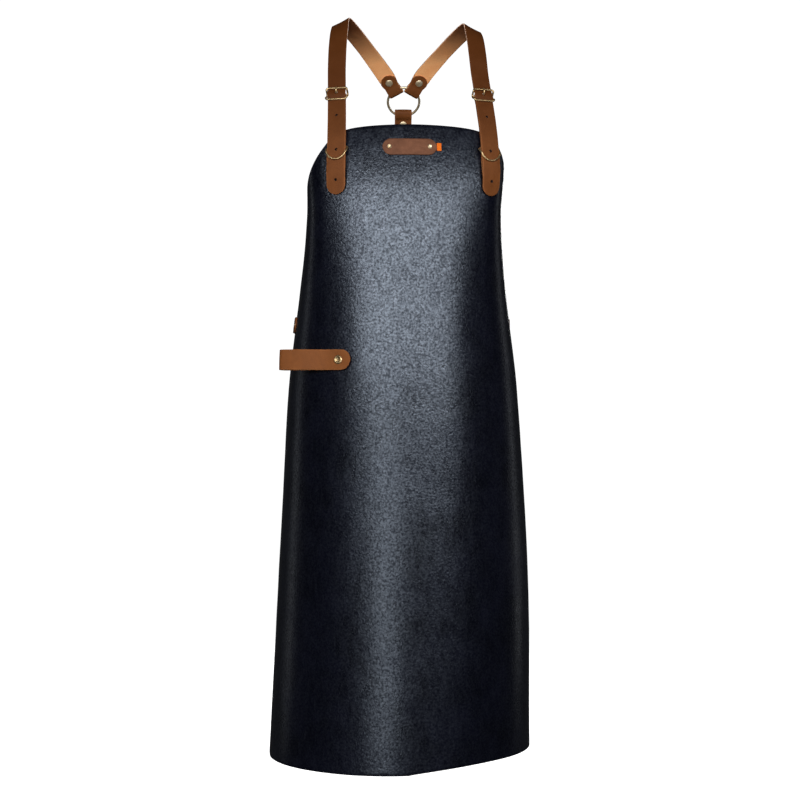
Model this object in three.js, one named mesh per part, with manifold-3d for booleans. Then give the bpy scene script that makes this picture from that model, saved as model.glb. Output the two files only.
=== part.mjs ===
// A leather grill apron: a one-piece hide bib and skirt, buckled shoulder straps that meet
// in a ring on the back, a waist strap, a bare leather patch and a towel loop.
// Millimetres, +Z up, the wearer's front towards -Y. The origin lies midway between the
// shoulder straps, at the height where they rest on the shoulders.

import * as THREE from 'three';
import { mergeVertices } from 'three/addons/utils/BufferGeometryUtils.js';
import Module from 'manifold-3d';

const wasm = await Module();
wasm.setup();

const V = (x, y, z) => new THREE.Vector3(x, y, z);
const rad = THREE.MathUtils.degToRad;

// Driving dimensions
const GAP = 0.3;
const HIDE = 2;
const STRAP = 2.5;
const FOLD_GRIP = 2 * STRAP + GAP;
const TURN_STEPS = 6;
const END_STEPS = 5;
const BLUNT = 0.04;
const FOLD_LEAD = 9;
const PATCH = 2;
const WIRE_SIDES = 6;

// The worn sheet, a row for each level section: half the width, depth from the front to
// the widest point, angle where the front arc gives way to the side arc, place of the
// front, sideways sway of the section and slip of the sheet round it
const SECTIONS = [
  { z: -90, halfWidth: 158, depth: 58, turn: 21, front: -67, sway: -3, slide: 4 },
  { z: -175, halfWidth: 157, depth: 60, turn: 21, front: -93, sway: -3.5, slide: 10 },
  { z: -245, halfWidth: 153.5, depth: 64, turn: 22, front: -107, sway: -3.5, slide: 12 },
  { z: -310, halfWidth: 150.5, depth: 75, turn: 26, front: -114, sway: -4.5, slide: 12 },
  { z: -435, halfWidth: 161, depth: 104, turn: 33, front: -121, sway: -5, slide: 10 },
  { z: -560, halfWidth: 177, depth: 126, turn: 38, front: -130, sway: -4.5, slide: 8 },
  { z: -690, halfWidth: 186.5, depth: 143, turn: 41, front: -139, sway: -3.2, slide: 6 },
  { z: -880, halfWidth: 197, depth: 162, turn: 43, front: -152, sway: -3.5, slide: 6 },
  { z: -1160, halfWidth: 206, depth: 184, turn: 45, front: -172, sway: -10, slide: 6 },
];
const FLARE = rad(4);

const PANEL = {
  bibHalf: 128,
  skirtHalf: 320,
  bibCorner: -194,
  sideCorner: -455,
  hem: -1145,
  armholePower: 0.93,
  crown: 8,
  cornerDrop: 12,
  hemLift: 6,
  hemSwell: 7.5,
  columns: 28,
  armholeRows: 11,
  skirtRows: 14,
};

// Shoulder strap on the bib: its place across the sheet at two heights
const STRAP_RUN = { topZ: -112, topS: 111, tipZ: -281.5, tipS: 120.5 };
const STRAP_HALF = { run: 14.2, tip: 15 };
const STRAP_HOLES = { levels: [-162, -214.8, -260], lift: 6, radius: 2.1 };
const STRAP_STEP = 10;
// Over the shoulder, a row for each place: the inner face's middle, its direction across,
// and its share of the drop by which the right strap sits lower than the left
const SHOULDER_DROP = 3.7;
const SHOULDER = [
  { x: 62, y: 57, z: -30.5, acrossX: 0.86, acrossY: 0.45, acrossZ: -0.24, share: 0.5 },
  { x: 90, y: 20, z: -6.5, acrossX: 0.89, acrossY: 0.33, acrossZ: -0.3, share: 0.9 },
  { x: 101, y: -3, z: -3.5, acrossX: 0.88, acrossY: 0.05, acrossZ: -0.47, share: 1 },
  { x: 105, y: -24, z: -19, acrossX: 0.95, acrossY: 0.08, acrossZ: -0.3, share: 0.9 },
  { x: 108, y: -44, z: -52, acrossX: 0.98, acrossY: 0.18, acrossZ: -0.12, share: 0.4 },
];

// Height of the strap's inner face over the bib, a row for each level on its way down
const STRAP_LIFT = [
  { z: -92, lift: 6 },
  { z: -108, lift: 6.2 },
  { z: -118.9, lift: 6.6 },
  { z: -123.6, lift: 8 },
  { z: -127.8, lift: 8.6 },
  { z: -132, lift: 7.9 },
  { z: -136.7, lift: 6.8 },
  { z: -148, lift: 6.8 },
  { z: -165, lift: 7.1 },
  { z: -193, lift: 7.4 },
  { z: -212, lift: 6.6 },
  { z: -230, lift: 6.2 },
  { z: -242, lift: 5.6 },
  { z: -250, lift: 4.7 },
  { z: -261, lift: 2.8 },
  { z: -270, lift: 1.3 },
  { z: -281, lift: 0.6 },
];

// Buckle: rim of wire with a bar across its middle, and the tongue that turns on the bar
const BUCKLE = {
  z: -127.8, halfHeight: 9.3, halfWidth: 16.4, wire: 1.5, bar: 1.33, barLift: 4.5, rimLift: 11, corner: 3.2,
};
const CORNER_STEPS = 3;
const RAIL_STATIONS = [-0.6, -0.2, 0.2, 0.6];
const TONGUE = { collar: 3.1, collarHalf: 1.7, collarSides: 14, root: 1.3, tip: 0.8 };
const TONGUE_PATH = [
  { down: 0, lift: 6.9 },
  { down: -0.6, lift: 9.1 },
  { down: -2.6, lift: 12.4 },
  { down: -5.6, lift: 14.1 },
  { down: -11.1, lift: 13.9 },
];
const SLOT = { half: 2.4, up: 1.6, lift: 10.5, stretch: 1.5, length: 13, depth: 16 };
const KEEPER = {
  z: -212.5, halfWidth: 16.6, drop: 17.6, wire: 1.3, backLift: 1.6, frontLift: 10.6, points: 26, step: 0.25,
};

// Buckle tab: height of the inner face of its fold over the bib
const TAB = { half: 13, thick: 1.6, rivetZ: -237, wrap: 1.9, step: 13 };
const TAB_LIFT = [
  { z: -139.5, lift: 4.3 },
  { z: -150, lift: 4.2 },
  { z: -165, lift: 4.6 },
  { z: -181, lift: 5.1 },
  { z: -193, lift: 5.1 },
  { z: -205, lift: 4.5 },
  { z: -222, lift: 2.6 },
  { z: -236, lift: 1.9 },
  { z: -250, lift: 1.9 },
];

// Ring on the back, its top leaning forward, and the folds that hang on it
const RING = { y: 115, z: -99.6, radius: 26, wire: 2, lean: rad(38.7), points: 32 };
const STRAP_FOLD = {
  angle: 53, heading: 58.5, tilt: 0, half: 12, wide: 14.2, free: 30, join: 33, rivet: 17,
};
const BACK_FOLD = {
  angle: -90, heading: -90, tilt: 15, half: 14, wide: 14, free: 31, join: 34, rivet: 14,
};
const BACK_RUN = [
  { y: 152, z: -200 },
  { y: 151, z: -280 },
  { y: 140, z: -370 },
  { y: 131.6, z: -440 },
  { y: 130.8, z: -490 },
];

// Waist strap, riveted on the wings and led round the back
const WAIST = { z: -472, half: 12.5, front: 283, edge: 324, back: 128 };
const WAIST_RUN = [
  { x: 173, y: 108 },
  { x: 155, y: 121.5 },
  { x: 108, y: 127.3 },
  { x: 54, y: 128 },
];

// Patch, ribbon and towel loop on the front of the sheet
const LABEL = { s: -6.7, z: -210, half: 41, round: 12.9, rivet: 30.5 };
const RIBBON = { near: 41.3, far: 48.5, half: 6.3, thick: 1.3, drop: 0.5 };
const TOWEL = {
  s: -112, z: -532.5, half: 15.5, thick: 2.2, front: 20, tuck: 2, flat: 9, reach: 96, bulge: 13, turn: 6,
  spans: 8,
};

// Rivets: cap, post and dome
const RIVETS = {
  strap: { head: 6, post: 2, dome: 1.9 },
  plain: { head: 4.5, post: 1.8, dome: 0.9 },
  label: { head: 3.5, post: 1.3, dome: 1.4 },
  towel: { head: 6.9, post: 2.2, dome: 1.6 },
};
const RIVET_CAP = [
  { share: 1, rise: 0 },
  { share: 0.92, rise: 0.55 },
  { share: 0.5, rise: 0.95 },
  { share: 0, rise: 1 },
];
const RIVET_SIDES = 10;
const WASHER = { share: 0.8, gap: 0.7, edge: 0.7, middle: 0.9 };
const PUNCH = { sides: 8, depth: 20 };

const FINISH = {
  hide: { color: 0x1b1d26, roughness: 0.42, metalness: 0 },
  strap: { color: 0x7a4620, roughness: 0.5, metalness: 0 },
  patch: { color: 0x8a5638, roughness: 0.55, metalness: 0 },
  ribbon: { color: 0xf07010, roughness: 0.8, metalness: 0 },
  brass: { color: 0x9c7d4c, roughness: 0.38, metalness: 1 },
};

// Reading a table between its rows, with smooth slopes
function slopeAt(table, column, i) {
  const before = table[Math.max(i - 1, 0)];
  const after = table[Math.min(i + 1, table.length - 1)];
  return (after[column] - before[column]) / (after.z - before.z);
}

function rowAt(table, z) {
  let i = 0;
  while (i < table.length - 2 && z < table[i + 1].z) i += 1;
  const span = table[i + 1].z - table[i].z;
  const t = (z - table[i].z) / span;
  const row = {};
  for (const column of Object.keys(table[i])) {
    const a = table[i][column];
    const b = table[i + 1][column];
    const bend = t * (1 - t) * span;
    const ease = t * t * (3 - 2 * t);
    row[column] = a + (b - a) * ease
      + bend * ((1 - t) * slopeAt(table, column, i) - t * slopeAt(table, column, i + 1));
  }
  return row;
}

// The levels of a table's rows, with others between rows that lie far apart
function levelsOf(table, step) {
  const levels = [table[0].z];
  for (let i = 1; i < table.length; i += 1) {
    const count = Math.ceil((table[i - 1].z - table[i].z) / step);
    for (let k = 1; k <= count; k += 1) {
      levels.push(THREE.MathUtils.lerp(table[i - 1].z, table[i].z, k / count));
    }
  }
  return levels;
}

// The outer face of the worn sheet at s along the sheet from its middle line and height z
function panelPoint(s, z) {
  const row = rowAt(SECTIONS, z);
  const turn = rad(row.turn);
  const rise = Math.sin(turn);
  const run = Math.cos(turn);
  const frontRadius = (row.halfWidth * run - row.depth * (1 - rise)) / (rise + run - 1);
  const sideRadius = (row.depth * rise - row.halfWidth * (1 - run)) / (rise + run - 1);
  const last = Math.PI / 2 - FLARE;
  const along = Math.abs(s + row.slide);
  const frontTurn = Math.min(along / frontRadius, turn);
  const sideTurn = Math.min(turn + Math.max(0, along - frontRadius * turn) / sideRadius, last);
  const tail = Math.max(0, along - frontRadius * turn - sideRadius * (last - turn));
  const x = frontRadius * Math.sin(frontTurn)
    + sideRadius * (Math.sin(sideTurn) - rise) + tail * Math.sin(FLARE);
  const y = frontRadius * (1 - Math.cos(frontTurn))
    + sideRadius * (run - Math.cos(sideTurn)) + tail * Math.cos(FLARE);
  return V(row.sway + Math.sign(s + row.slide) * x, row.front + y, z);
}

function panelFrame(s, z) {
  const probe = 0.5;
  const across = panelPoint(s + probe, z).sub(panelPoint(s - probe, z)).normalize();
  const fall = panelPoint(s, z - probe).sub(panelPoint(s, z + probe)).normalize();
  const normal = fall.cross(across).normalize();
  const down = across.clone().cross(normal).normalize();
  return { point: panelPoint(s, z), across, down, normal };
}

function onPanel(s, z, lift) {
  const frame = panelFrame(s, z);
  return frame.point.addScaledVector(frame.normal, lift);
}

function inFrame(frame, across, down, lift) {
  return frame.point.clone()
    .addScaledVector(frame.across, across)
    .addScaledVector(frame.down, down)
    .addScaledVector(frame.normal, lift);
}

// Closed skins, and joining and cutting them
function tidy(geometry) {
  geometry.deleteAttribute('normal');
  geometry.deleteAttribute('uv');
  const merged = mergeVertices(geometry, 1e-3);
  const kept = [];
  const index = merged.index.array;
  for (let i = 0; i < index.length; i += 3) {
    const [a, b, c] = [index[i], index[i + 1], index[i + 2]];
    if (a !== b && b !== c && c !== a) kept.push(a, b, c);
  }
  merged.setIndex(kept);
  return merged;
}

function volumeOf(points, faces) {
  let volume = 0;
  for (let i = 0; i < faces.length; i += 3) {
    const [a, b, c] = [points[faces[i]], points[faces[i + 1]], points[faces[i + 2]]];
    volume += a.dot(b.clone().cross(c)) / 6;
  }
  return volume;
}

// Rings of equal count are joined into one skin; an open row of rings is capped by
// zipping each end ring's first half to its second half
function skin(rings, closed = false) {
  const count = rings[0].length;
  const points = rings.flat();
  const faces = [];
  const quad = (a, b, c, d) => faces.push(a, b, c, a, c, d);
  const spans = closed ? rings.length : rings.length - 1;
  for (let i = 0; i < spans; i += 1) {
    const low = i * count;
    const high = ((i + 1) % rings.length) * count;
    for (let k = 0; k < count; k += 1) {
      const next = (k + 1) % count;
      quad(low + k, low + next, high + next, high + k);
    }
  }
  if (!closed) {
    const end = (rings.length - 1) * count;
    for (let k = 0; k < count / 2 - 1; k += 1) {
      quad(count - 1 - k, count - 2 - k, k + 1, k);
      quad(end + k, end + k + 1, end + count - 2 - k, end + count - 1 - k);
    }
  }
  if (volumeOf(points, faces) < 0) faces.reverse();
  const geometry = new THREE.BufferGeometry().setFromPoints(points);
  geometry.setIndex(faces);
  return geometry;
}

function toSolid(geometry) {
  const clean = tidy(geometry);
  return new wasm.Manifold(new wasm.Mesh({
    numProp: 3,
    vertProperties: new Float32Array(clean.attributes.position.array),
    triVerts: new Uint32Array(clean.index.array),
  }));
}

function toGeometry(solid) {
  const mesh = solid.getMesh();
  const geometry = new THREE.BufferGeometry();
  geometry.setAttribute('position', new THREE.BufferAttribute(mesh.vertProperties, 3));
  geometry.setIndex(new THREE.BufferAttribute(mesh.triVerts, 1));
  return geometry;
}

function cut(geometry, cutters) {
  let solid = toSolid(geometry);
  for (const cutter of cutters) solid = solid.subtract(toSolid(cutter));
  return toGeometry(solid);
}

function join(geometry, others) {
  let solid = toSolid(geometry);
  for (const other of others) solid = solid.add(toSolid(other));
  return toGeometry(solid);
}

// A round punch through leather at a place with a point and a normal
function punch(place, radius, stretch = 1) {
  const geometry = new THREE.CylinderGeometry(radius, radius, PUNCH.depth, PUNCH.sides);
  geometry.scale(1, 1, stretch);
  const basis = new THREE.Matrix4();
  const side = place.across.clone();
  basis.makeBasis(side, place.normal, side.clone().cross(place.normal));
  geometry.applyMatrix4(basis.setPosition(place.point));
  return geometry;
}

// A flat strip through stations, each with the middle of its inner face, its direction
// across and half its width there; its thickness grows to the outer side
function ribbon(stations, thick) {
  const rings = stations.map((station, i) => {
    const before = stations[Math.max(i - 1, 0)].point;
    const after = stations[Math.min(i + 1, stations.length - 1)].point;
    const tangent = after.clone().sub(before).normalize();
    const outer = tangent.clone().cross(station.across).normalize();
    const across = outer.clone().cross(tangent).normalize();
    const left = station.point.clone().addScaledVector(across, -station.half);
    const right = station.point.clone().addScaledVector(across, station.half);
    return [
      left,
      right,
      right.clone().addScaledVector(outer, thick),
      left.clone().addScaledVector(outer, thick),
    ];
  });
  return skin(rings);
}

// Distances and half widths over a rounded end of a strip
function roundedEnd(half) {
  const rows = [];
  for (let k = 0; k < END_STEPS; k += 1) {
    const angle = (Math.PI / 2) * Math.max(k / END_STEPS, BLUNT);
    rows.push({ from: half * (1 - Math.cos(angle)), half: half * Math.sin(angle) });
  }
  return rows;
}

// A wire through points, open or in a closed loop, with a radius for each point
function wire(points, radiusAt, closed) {
  const count = points.length;
  const rings = points.map((point, i) => {
    const before = points[closed ? (i + count - 1) % count : Math.max(i - 1, 0)];
    const after = points[closed ? (i + 1) % count : Math.min(i + 1, count - 1)];
    const tangent = after.clone().sub(before).normalize();
    const side = V(tangent.y, -tangent.x, 0);
    if (side.length() < 0.2) side.set(1, 0, 0);
    side.normalize();
    const up = side.clone().cross(tangent).normalize();
    side.copy(tangent).cross(up);
    const ring = [];
    for (let k = 0; k < WIRE_SIDES; k += 1) {
      const angle = (2 * Math.PI * k) / WIRE_SIDES;
      const radius = radiusAt(i / (count - 1));
      ring.push(point.clone()
        .addScaledVector(side, radius * Math.cos(angle))
        .addScaledVector(up, radius * Math.sin(angle)));
    }
    return ring;
  });
  return skin(rings, closed);
}

const apron = new THREE.Group();

function addPiece(name, geometry, finish) {
  const mesh = new THREE.Mesh(geometry, new THREE.MeshStandardMaterial(FINISH[finish]));
  mesh.name = name;
  apron.add(mesh);
  return mesh;
}

// A rivet set on the outer face at a place, through a stack of leather
function addRivet(name, place, grip, kind) {
  const size = RIVETS[kind];
  const washer = size.head * WASHER.share;
  const under = -grip - WASHER.gap;
  const profile = [
    [0, under - WASHER.middle],
    [washer, under - WASHER.edge],
    [washer, under],
    [size.post, under],
    [size.post, GAP],
    ...RIVET_CAP.map((row) => [size.head * row.share, GAP + size.dome * row.rise]),
  ].map(([radius, height]) => new THREE.Vector2(radius, height));
  const geometry = tidy(new THREE.LatheGeometry(profile, RIVET_SIDES));
  const mesh = addPiece(name, geometry, 'brass');
  mesh.position.copy(place.point);
  mesh.quaternion.setFromUnitVectors(V(0, 1, 0), place.normal);
}

function rivetHole(place, kind) {
  return punch(place, RIVETS[kind].post + GAP);
}

// Places on the front of the bib that belong to a shoulder strap
function strapS(side, z) {
  const t = (z - STRAP_RUN.topZ) / (STRAP_RUN.tipZ - STRAP_RUN.topZ);
  return side * THREE.MathUtils.lerp(STRAP_RUN.topS, STRAP_RUN.tipS, t);
}

function strapFrame(side, z, lift = 0) {
  const frame = panelFrame(strapS(side, z), z);
  frame.point.addScaledVector(frame.normal, lift);
  return frame;
}

// A direction of the right-hand strap, turned for the left-hand one
function handed(side, x, y, z) {
  return side > 0 ? V(x, y, z) : V(x, -y, -z);
}

// The fold of a strap round the ring: the free end in front, then round the wire, then
// the start of the strap's own run behind. Its fold is straight and the ring is round, so
// the fold is deep enough to clear the ring at the strap's edges
function foldOnRing(size, side) {
  const lean = V(0, -Math.sin(RING.lean), Math.cos(RING.lean));
  const mirror = V(side, 1, 1);
  const inRing = (degrees) => V(Math.cos(rad(degrees)), 0, 0)
    .addScaledVector(lean, Math.sin(rad(degrees)))
    .multiply(mirror);
  const point = V(0, RING.y, RING.z).addScaledVector(inRing(size.angle), RING.radius);
  const tangent = inRing(size.heading - 90);
  const away = inRing(size.heading).applyAxisAngle(tangent, rad(size.tilt));
  const front = tangent.cross(away).normalize();
  if (front.y > 0) front.negate();
  return { point, across: away.clone().cross(front), away, front };
}

function foldStations(size, side) {
  const fold = foldOnRing(size, side);
  const askew = rad(size.heading - size.angle);
  const reach = size.half + RING.radius * Math.sin(askew);
  const chord = Math.sqrt(RING.radius ** 2 - reach ** 2);
  const sag = RING.radius * Math.cos(askew) - chord;
  const depth = sag + RING.wire * (RING.radius / chord - 1) + GAP;
  const bend = RING.wire + GAP + depth * Math.sin(rad(size.tilt));
  const seat = GAP / 2;
  const flat = size.rivet - RIVETS.strap.head - 1;
  const stations = [];
  const add = (away, front, share = 1) => {
    const spread = THREE.MathUtils.clamp(away / flat - 1, 0, 1);
    stations.push({
      point: fold.point.clone().addScaledVector(fold.away, away).addScaledVector(fold.front, front),
      across: fold.across,
      half: share * THREE.MathUtils.lerp(size.half, size.wide, spread),
    });
  };
  for (const row of roundedEnd(size.wide)) add(size.free - row.from, seat, row.half / size.wide);
  add(flat + 1, seat);
  add(flat, seat);
  add(flat / 3, bend);
  for (let k = 0; k <= TURN_STEPS; k += 1) {
    const swing = Math.PI * (0.5 + k / TURN_STEPS);
    add(bend * Math.cos(swing) - depth, bend * Math.sin(swing));
  }
  add(flat / 3, -bend);
  add(flat, -seat);
  add(flat + 1, -seat);
  add(size.join - FOLD_LEAD, -seat);
  add(size.join, -seat);
  const place = {
    point: fold.point.clone()
      .addScaledVector(fold.away, size.rivet)
      .addScaledVector(fold.front, seat + STRAP),
    normal: fold.front,
    across: fold.across,
  };
  return { stations, place };
}

// Smooth stations through controls, some steps in each span that asks for them
function smoothStations(controls) {
  const points = new THREE.CatmullRomCurve3(controls.map((c) => c.point), false, 'centripetal');
  const sides = new THREE.CatmullRomCurve3(controls.map((c) => c.across), false, 'centripetal');
  const stations = [];
  controls.forEach((control, i) => {
    const steps = control.steps ?? 1;
    const next = controls[Math.min(i + 1, controls.length - 1)];
    for (let k = 0; k < (next === control ? 1 : steps); k += 1) {
      const t = (i + k / steps) / (controls.length - 1);
      stations.push({
        point: points.getPoint(t),
        across: sides.getPoint(t).normalize(),
        half: THREE.MathUtils.lerp(control.half, next.half, k / steps),
      });
    }
  });
  return stations;
}

function addShoulderStrap(name, side) {
  const { stations, place } = foldStations(STRAP_FOLD, side);
  stations[stations.length - 1].steps = 4;
  const controls = [...stations];
  for (const row of SHOULDER) {
    controls.push({
      point: V(side * row.x, row.y, row.z - side * SHOULDER_DROP * row.share),
      across: handed(side, row.acrossX, row.acrossY, row.acrossZ),
      half: STRAP_HALF.run,
      steps: 4,
    });
  }
  const widen = (z) => {
    const t = (z - STRAP_RUN.topZ) / (STRAP_RUN.tipZ - STRAP_RUN.topZ);
    return THREE.MathUtils.lerp(STRAP_HALF.run, STRAP_HALF.tip, t);
  };
  const addOnBib = (z, half) => {
    const frame = strapFrame(side, z, rowAt(STRAP_LIFT, z).lift);
    controls.push({ point: frame.point, across: frame.across, half });
  };
  const tipStart = STRAP_RUN.tipZ + STRAP_HALF.tip;
  const levels = levelsOf(STRAP_LIFT, STRAP_STEP).filter((level) => level > tipStart);
  for (const z of levels) addOnBib(z, widen(z));
  for (const row of roundedEnd(STRAP_HALF.tip).reverse()) {
    addOnBib(STRAP_RUN.tipZ + row.from, row.half);
  }

  const { levels: holeLevels, lift, radius } = STRAP_HOLES;
  const holes = holeLevels.map((z) => punch(strapFrame(side, z, lift), radius));
  holes.push(punch(strapFrame(side, BUCKLE.z + SLOT.up, SLOT.lift), SLOT.half, SLOT.stretch));
  holes.push(rivetHole(place, 'strap'));
  addPiece(`shoulder_strap_${name}`, cut(ribbon(smoothStations(controls), STRAP), holes), 'strap');
  addRivet(`strap_end_rivet_${name}`, place, FOLD_GRIP, 'strap');
}

// The tab that holds the buckle: up behind, round the buckle's middle bar, down in front
function addBuckleTab(name, side) {
  const controls = [];
  const add = (z, lift) => {
    const frame = strapFrame(side, z, lift);
    controls.push({ point: frame.point, across: frame.across, half: TAB.half });
  };
  const levels = levelsOf(TAB_LIFT, TAB.step);
  for (const z of levels.toReversed()) add(z, rowAt(TAB_LIFT, z).lift);
  for (let k = 0; k <= TURN_STEPS; k += 1) {
    const swing = Math.PI * (k / TURN_STEPS - 0.5);
    add(BUCKLE.z + TAB.wrap * Math.cos(swing), BUCKLE.barLift + TAB.wrap * Math.sin(swing));
  }
  for (const z of levels) add(z, rowAt(TAB_LIFT, z).lift + GAP);

  const slotFrame = strapFrame(side, BUCKLE.z, BUCKLE.barLift);
  const slot = new THREE.BoxGeometry(2 * SLOT.half, SLOT.length, SLOT.depth);
  const basis = new THREE.Matrix4();
  basis.makeBasis(slotFrame.across, slotFrame.down, slotFrame.across.clone().cross(slotFrame.down));
  slot.applyMatrix4(basis.setPosition(slotFrame.point));
  const place = strapFrame(side, TAB.rivetZ, rowAt(TAB_LIFT, TAB.rivetZ).lift + GAP + TAB.thick);
  const cutters = [slot, rivetHole(place, 'plain')];
  addPiece(`buckle_tab_${name}`, cut(ribbon(controls, TAB.thick), cutters), 'strap');
  const grip = rowAt(TAB_LIFT, TAB.rivetZ).lift + GAP + TAB.thick + HIDE;
  addRivet(`buckle_tab_rivet_${name}`, place, grip, 'plain');
  return place;
}

function addBuckle(name, side) {
  const frame = strapFrame(side, BUCKLE.z);
  const loop = [];
  const flatHeight = BUCKLE.halfHeight - BUCKLE.corner;
  const flatWidth = BUCKLE.halfWidth - BUCKLE.corner;
  const add = (across, down) => {
    const bow = Math.min(1, (down / flatHeight) ** 2);
    const lift = THREE.MathUtils.lerp(BUCKLE.barLift, BUCKLE.rimLift, bow);
    loop.push(inFrame(frame, across, down, lift));
  };
  const corners = [
    { across: 1, down: -1, from: -90, rail: true },
    { across: 1, down: 1, from: 0, rail: false },
    { across: -1, down: 1, from: 90, rail: true },
    { across: -1, down: -1, from: 180, rail: false },
  ];
  for (const corner of corners) {
    for (let k = 0; k <= CORNER_STEPS; k += 1) {
      const swing = rad(corner.from + (90 * k) / CORNER_STEPS);
      add(
        corner.across * flatWidth + BUCKLE.corner * Math.cos(swing),
        corner.down * flatHeight + BUCKLE.corner * Math.sin(swing),
      );
    }
    if (!corner.rail) continue;
    for (const step of RAIL_STATIONS) {
      add(corner.across * BUCKLE.halfWidth, corner.across * step * flatHeight);
    }
  }
  const rim = wire(loop, () => BUCKLE.wire, true);
  const barEnd = BUCKLE.halfWidth - GAP;
  const barPoints = [-barEnd, barEnd].map((across) => inFrame(frame, across, 0, BUCKLE.barLift));
  const bar = wire(barPoints, () => BUCKLE.bar, false);
  addPiece(`buckle_frame_${name}`, join(rim, [bar]), 'brass');

  const tongue = TONGUE_PATH.map((row) => inFrame(frame, 0, row.down, row.lift));
  const pin = wire(tongue, (t) => THREE.MathUtils.lerp(TONGUE.root, TONGUE.tip, t), false);
  const inside = BUCKLE.bar + GAP;
  const collar = tidy(new THREE.LatheGeometry([
    [inside, -TONGUE.collarHalf],
    [TONGUE.collar, -TONGUE.collarHalf],
    [TONGUE.collar, TONGUE.collarHalf],
    [inside, TONGUE.collarHalf],
    [inside, -TONGUE.collarHalf],
  ].map(([radius, height]) => new THREE.Vector2(radius, height)), TONGUE.collarSides));
  const basis = new THREE.Matrix4();
  basis.makeBasis(frame.down, frame.across, frame.down.clone().cross(frame.across));
  collar.applyMatrix4(basis.setPosition(inFrame(frame, 0, 0, BUCKLE.barLift)));
  addPiece(`buckle_tongue_${name}`, join(collar, [pin]), 'brass');
}

// The keeper ring passes behind the tab above and in front of the strap's tip below
function addKeeper(name, side) {
  const frame = strapFrame(side, KEEPER.z);
  const half = (KEEPER.frontLift - KEEPER.backLift) / 2;
  const points = [];
  for (let i = 0; i < KEEPER.points; i += 1) {
    const angle = (2 * Math.PI * (i + 0.5)) / KEEPER.points;
    const low = THREE.MathUtils.clamp(Math.sin(angle) / KEEPER.step, -1, 1);
    points.push(inFrame(
      frame,
      KEEPER.halfWidth * Math.cos(angle),
      KEEPER.drop * Math.sin(angle),
      KEEPER.backLift + half * (1 + low),
    ));
  }
  addPiece(`keeper_ring_${name}`, wire(points, () => KEEPER.wire, true), 'brass');
}

function addBackRing() {
  const geometry = tidy(new THREE.TorusGeometry(RING.radius, RING.wire, 8, RING.points));
  const mesh = addPiece('back_ring', geometry, 'brass');
  mesh.rotation.x = Math.PI / 2 + RING.lean;
  mesh.position.set(0, RING.y, RING.z);
}

function addBackStrap() {
  const { stations, place } = foldStations(BACK_FOLD, 1);
  const across = V(-1, 0, 0);
  stations[stations.length - 1].steps = 3;
  const controls = [...stations];
  for (const row of BACK_RUN) {
    controls.push({ point: V(0, row.y, row.z), across, half: BACK_FOLD.half, steps: 3 });
  }
  const end = BACK_RUN[BACK_RUN.length - 1];
  controls[controls.length - 1].steps = 1;
  const tip = end.z - BACK_FOLD.half;
  for (const row of roundedEnd(BACK_FOLD.half).reverse()) {
    controls.push({ point: V(0, end.y, tip + row.from), across, half: row.half });
  }
  const waistPlace = {
    point: V(0, WAIST.back + FOLD_GRIP, WAIST.z),
    normal: V(0, 1, 0),
    across,
  };
  const holes = [rivetHole(place, 'strap'), rivetHole(waistPlace, 'strap')];
  addPiece('back_strap', cut(ribbon(smoothStations(controls), STRAP), holes), 'strap');
  addRivet('back_strap_rivet', place, FOLD_GRIP, 'strap');
  addRivet('back_waist_rivet', waistPlace, FOLD_GRIP, 'strap');
  return waistPlace;
}

function addWaistStrap(backPlace) {
  const across = V(0, 0, -1);
  const addOnWing = (side, s, half) => {
    const frame = panelFrame(side * s, WAIST.z);
    return { point: frame.point.addScaledVector(frame.normal, GAP), across: frame.down, half };
  };
  const wing = (side) => {
    const rows = roundedEnd(WAIST.half).map((row) => addOnWing(side, WAIST.front + row.from, row.half));
    rows.push(addOnWing(side, (WAIST.front + WAIST.half + WAIST.edge) / 2, WAIST.half));
    rows.push(addOnWing(side, WAIST.edge, WAIST.half));
    for (const row of WAIST_RUN) {
      rows.push({ point: V(side * row.x, row.y, WAIST.z), across, half: WAIST.half, steps: 4 });
    }
    return rows;
  };
  const left = wing(-1);
  const right = wing(1).reverse();
  const middle = { point: V(0, WAIST.back, WAIST.z), across, half: WAIST.half, steps: 3 };
  const stations = smoothStations([...left, middle, ...right]);
  const places = [-1, 1].map((side) => {
    const frame = panelFrame(side * (WAIST.front + WAIST.half), WAIST.z);
    frame.point.addScaledVector(frame.normal, GAP + STRAP);
    return frame;
  });
  const holes = places.map((place) => rivetHole(place, 'plain'));
  holes.push(rivetHole(backPlace, 'strap'));
  addPiece('waist_strap', cut(ribbon(stations, STRAP), holes), 'strap');
  addRivet('waist_rivet_left', places[0], GAP + STRAP + HIDE, 'plain');
  addRivet('waist_rivet_right', places[1], GAP + STRAP + HIDE, 'plain');
  return places;
}

// A strip laid level on the sheet, from s to s
function levelStation(s, z, half, lift) {
  return { point: onPanel(s, z, lift), across: panelFrame(s, z).down.negate(), half };
}

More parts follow.
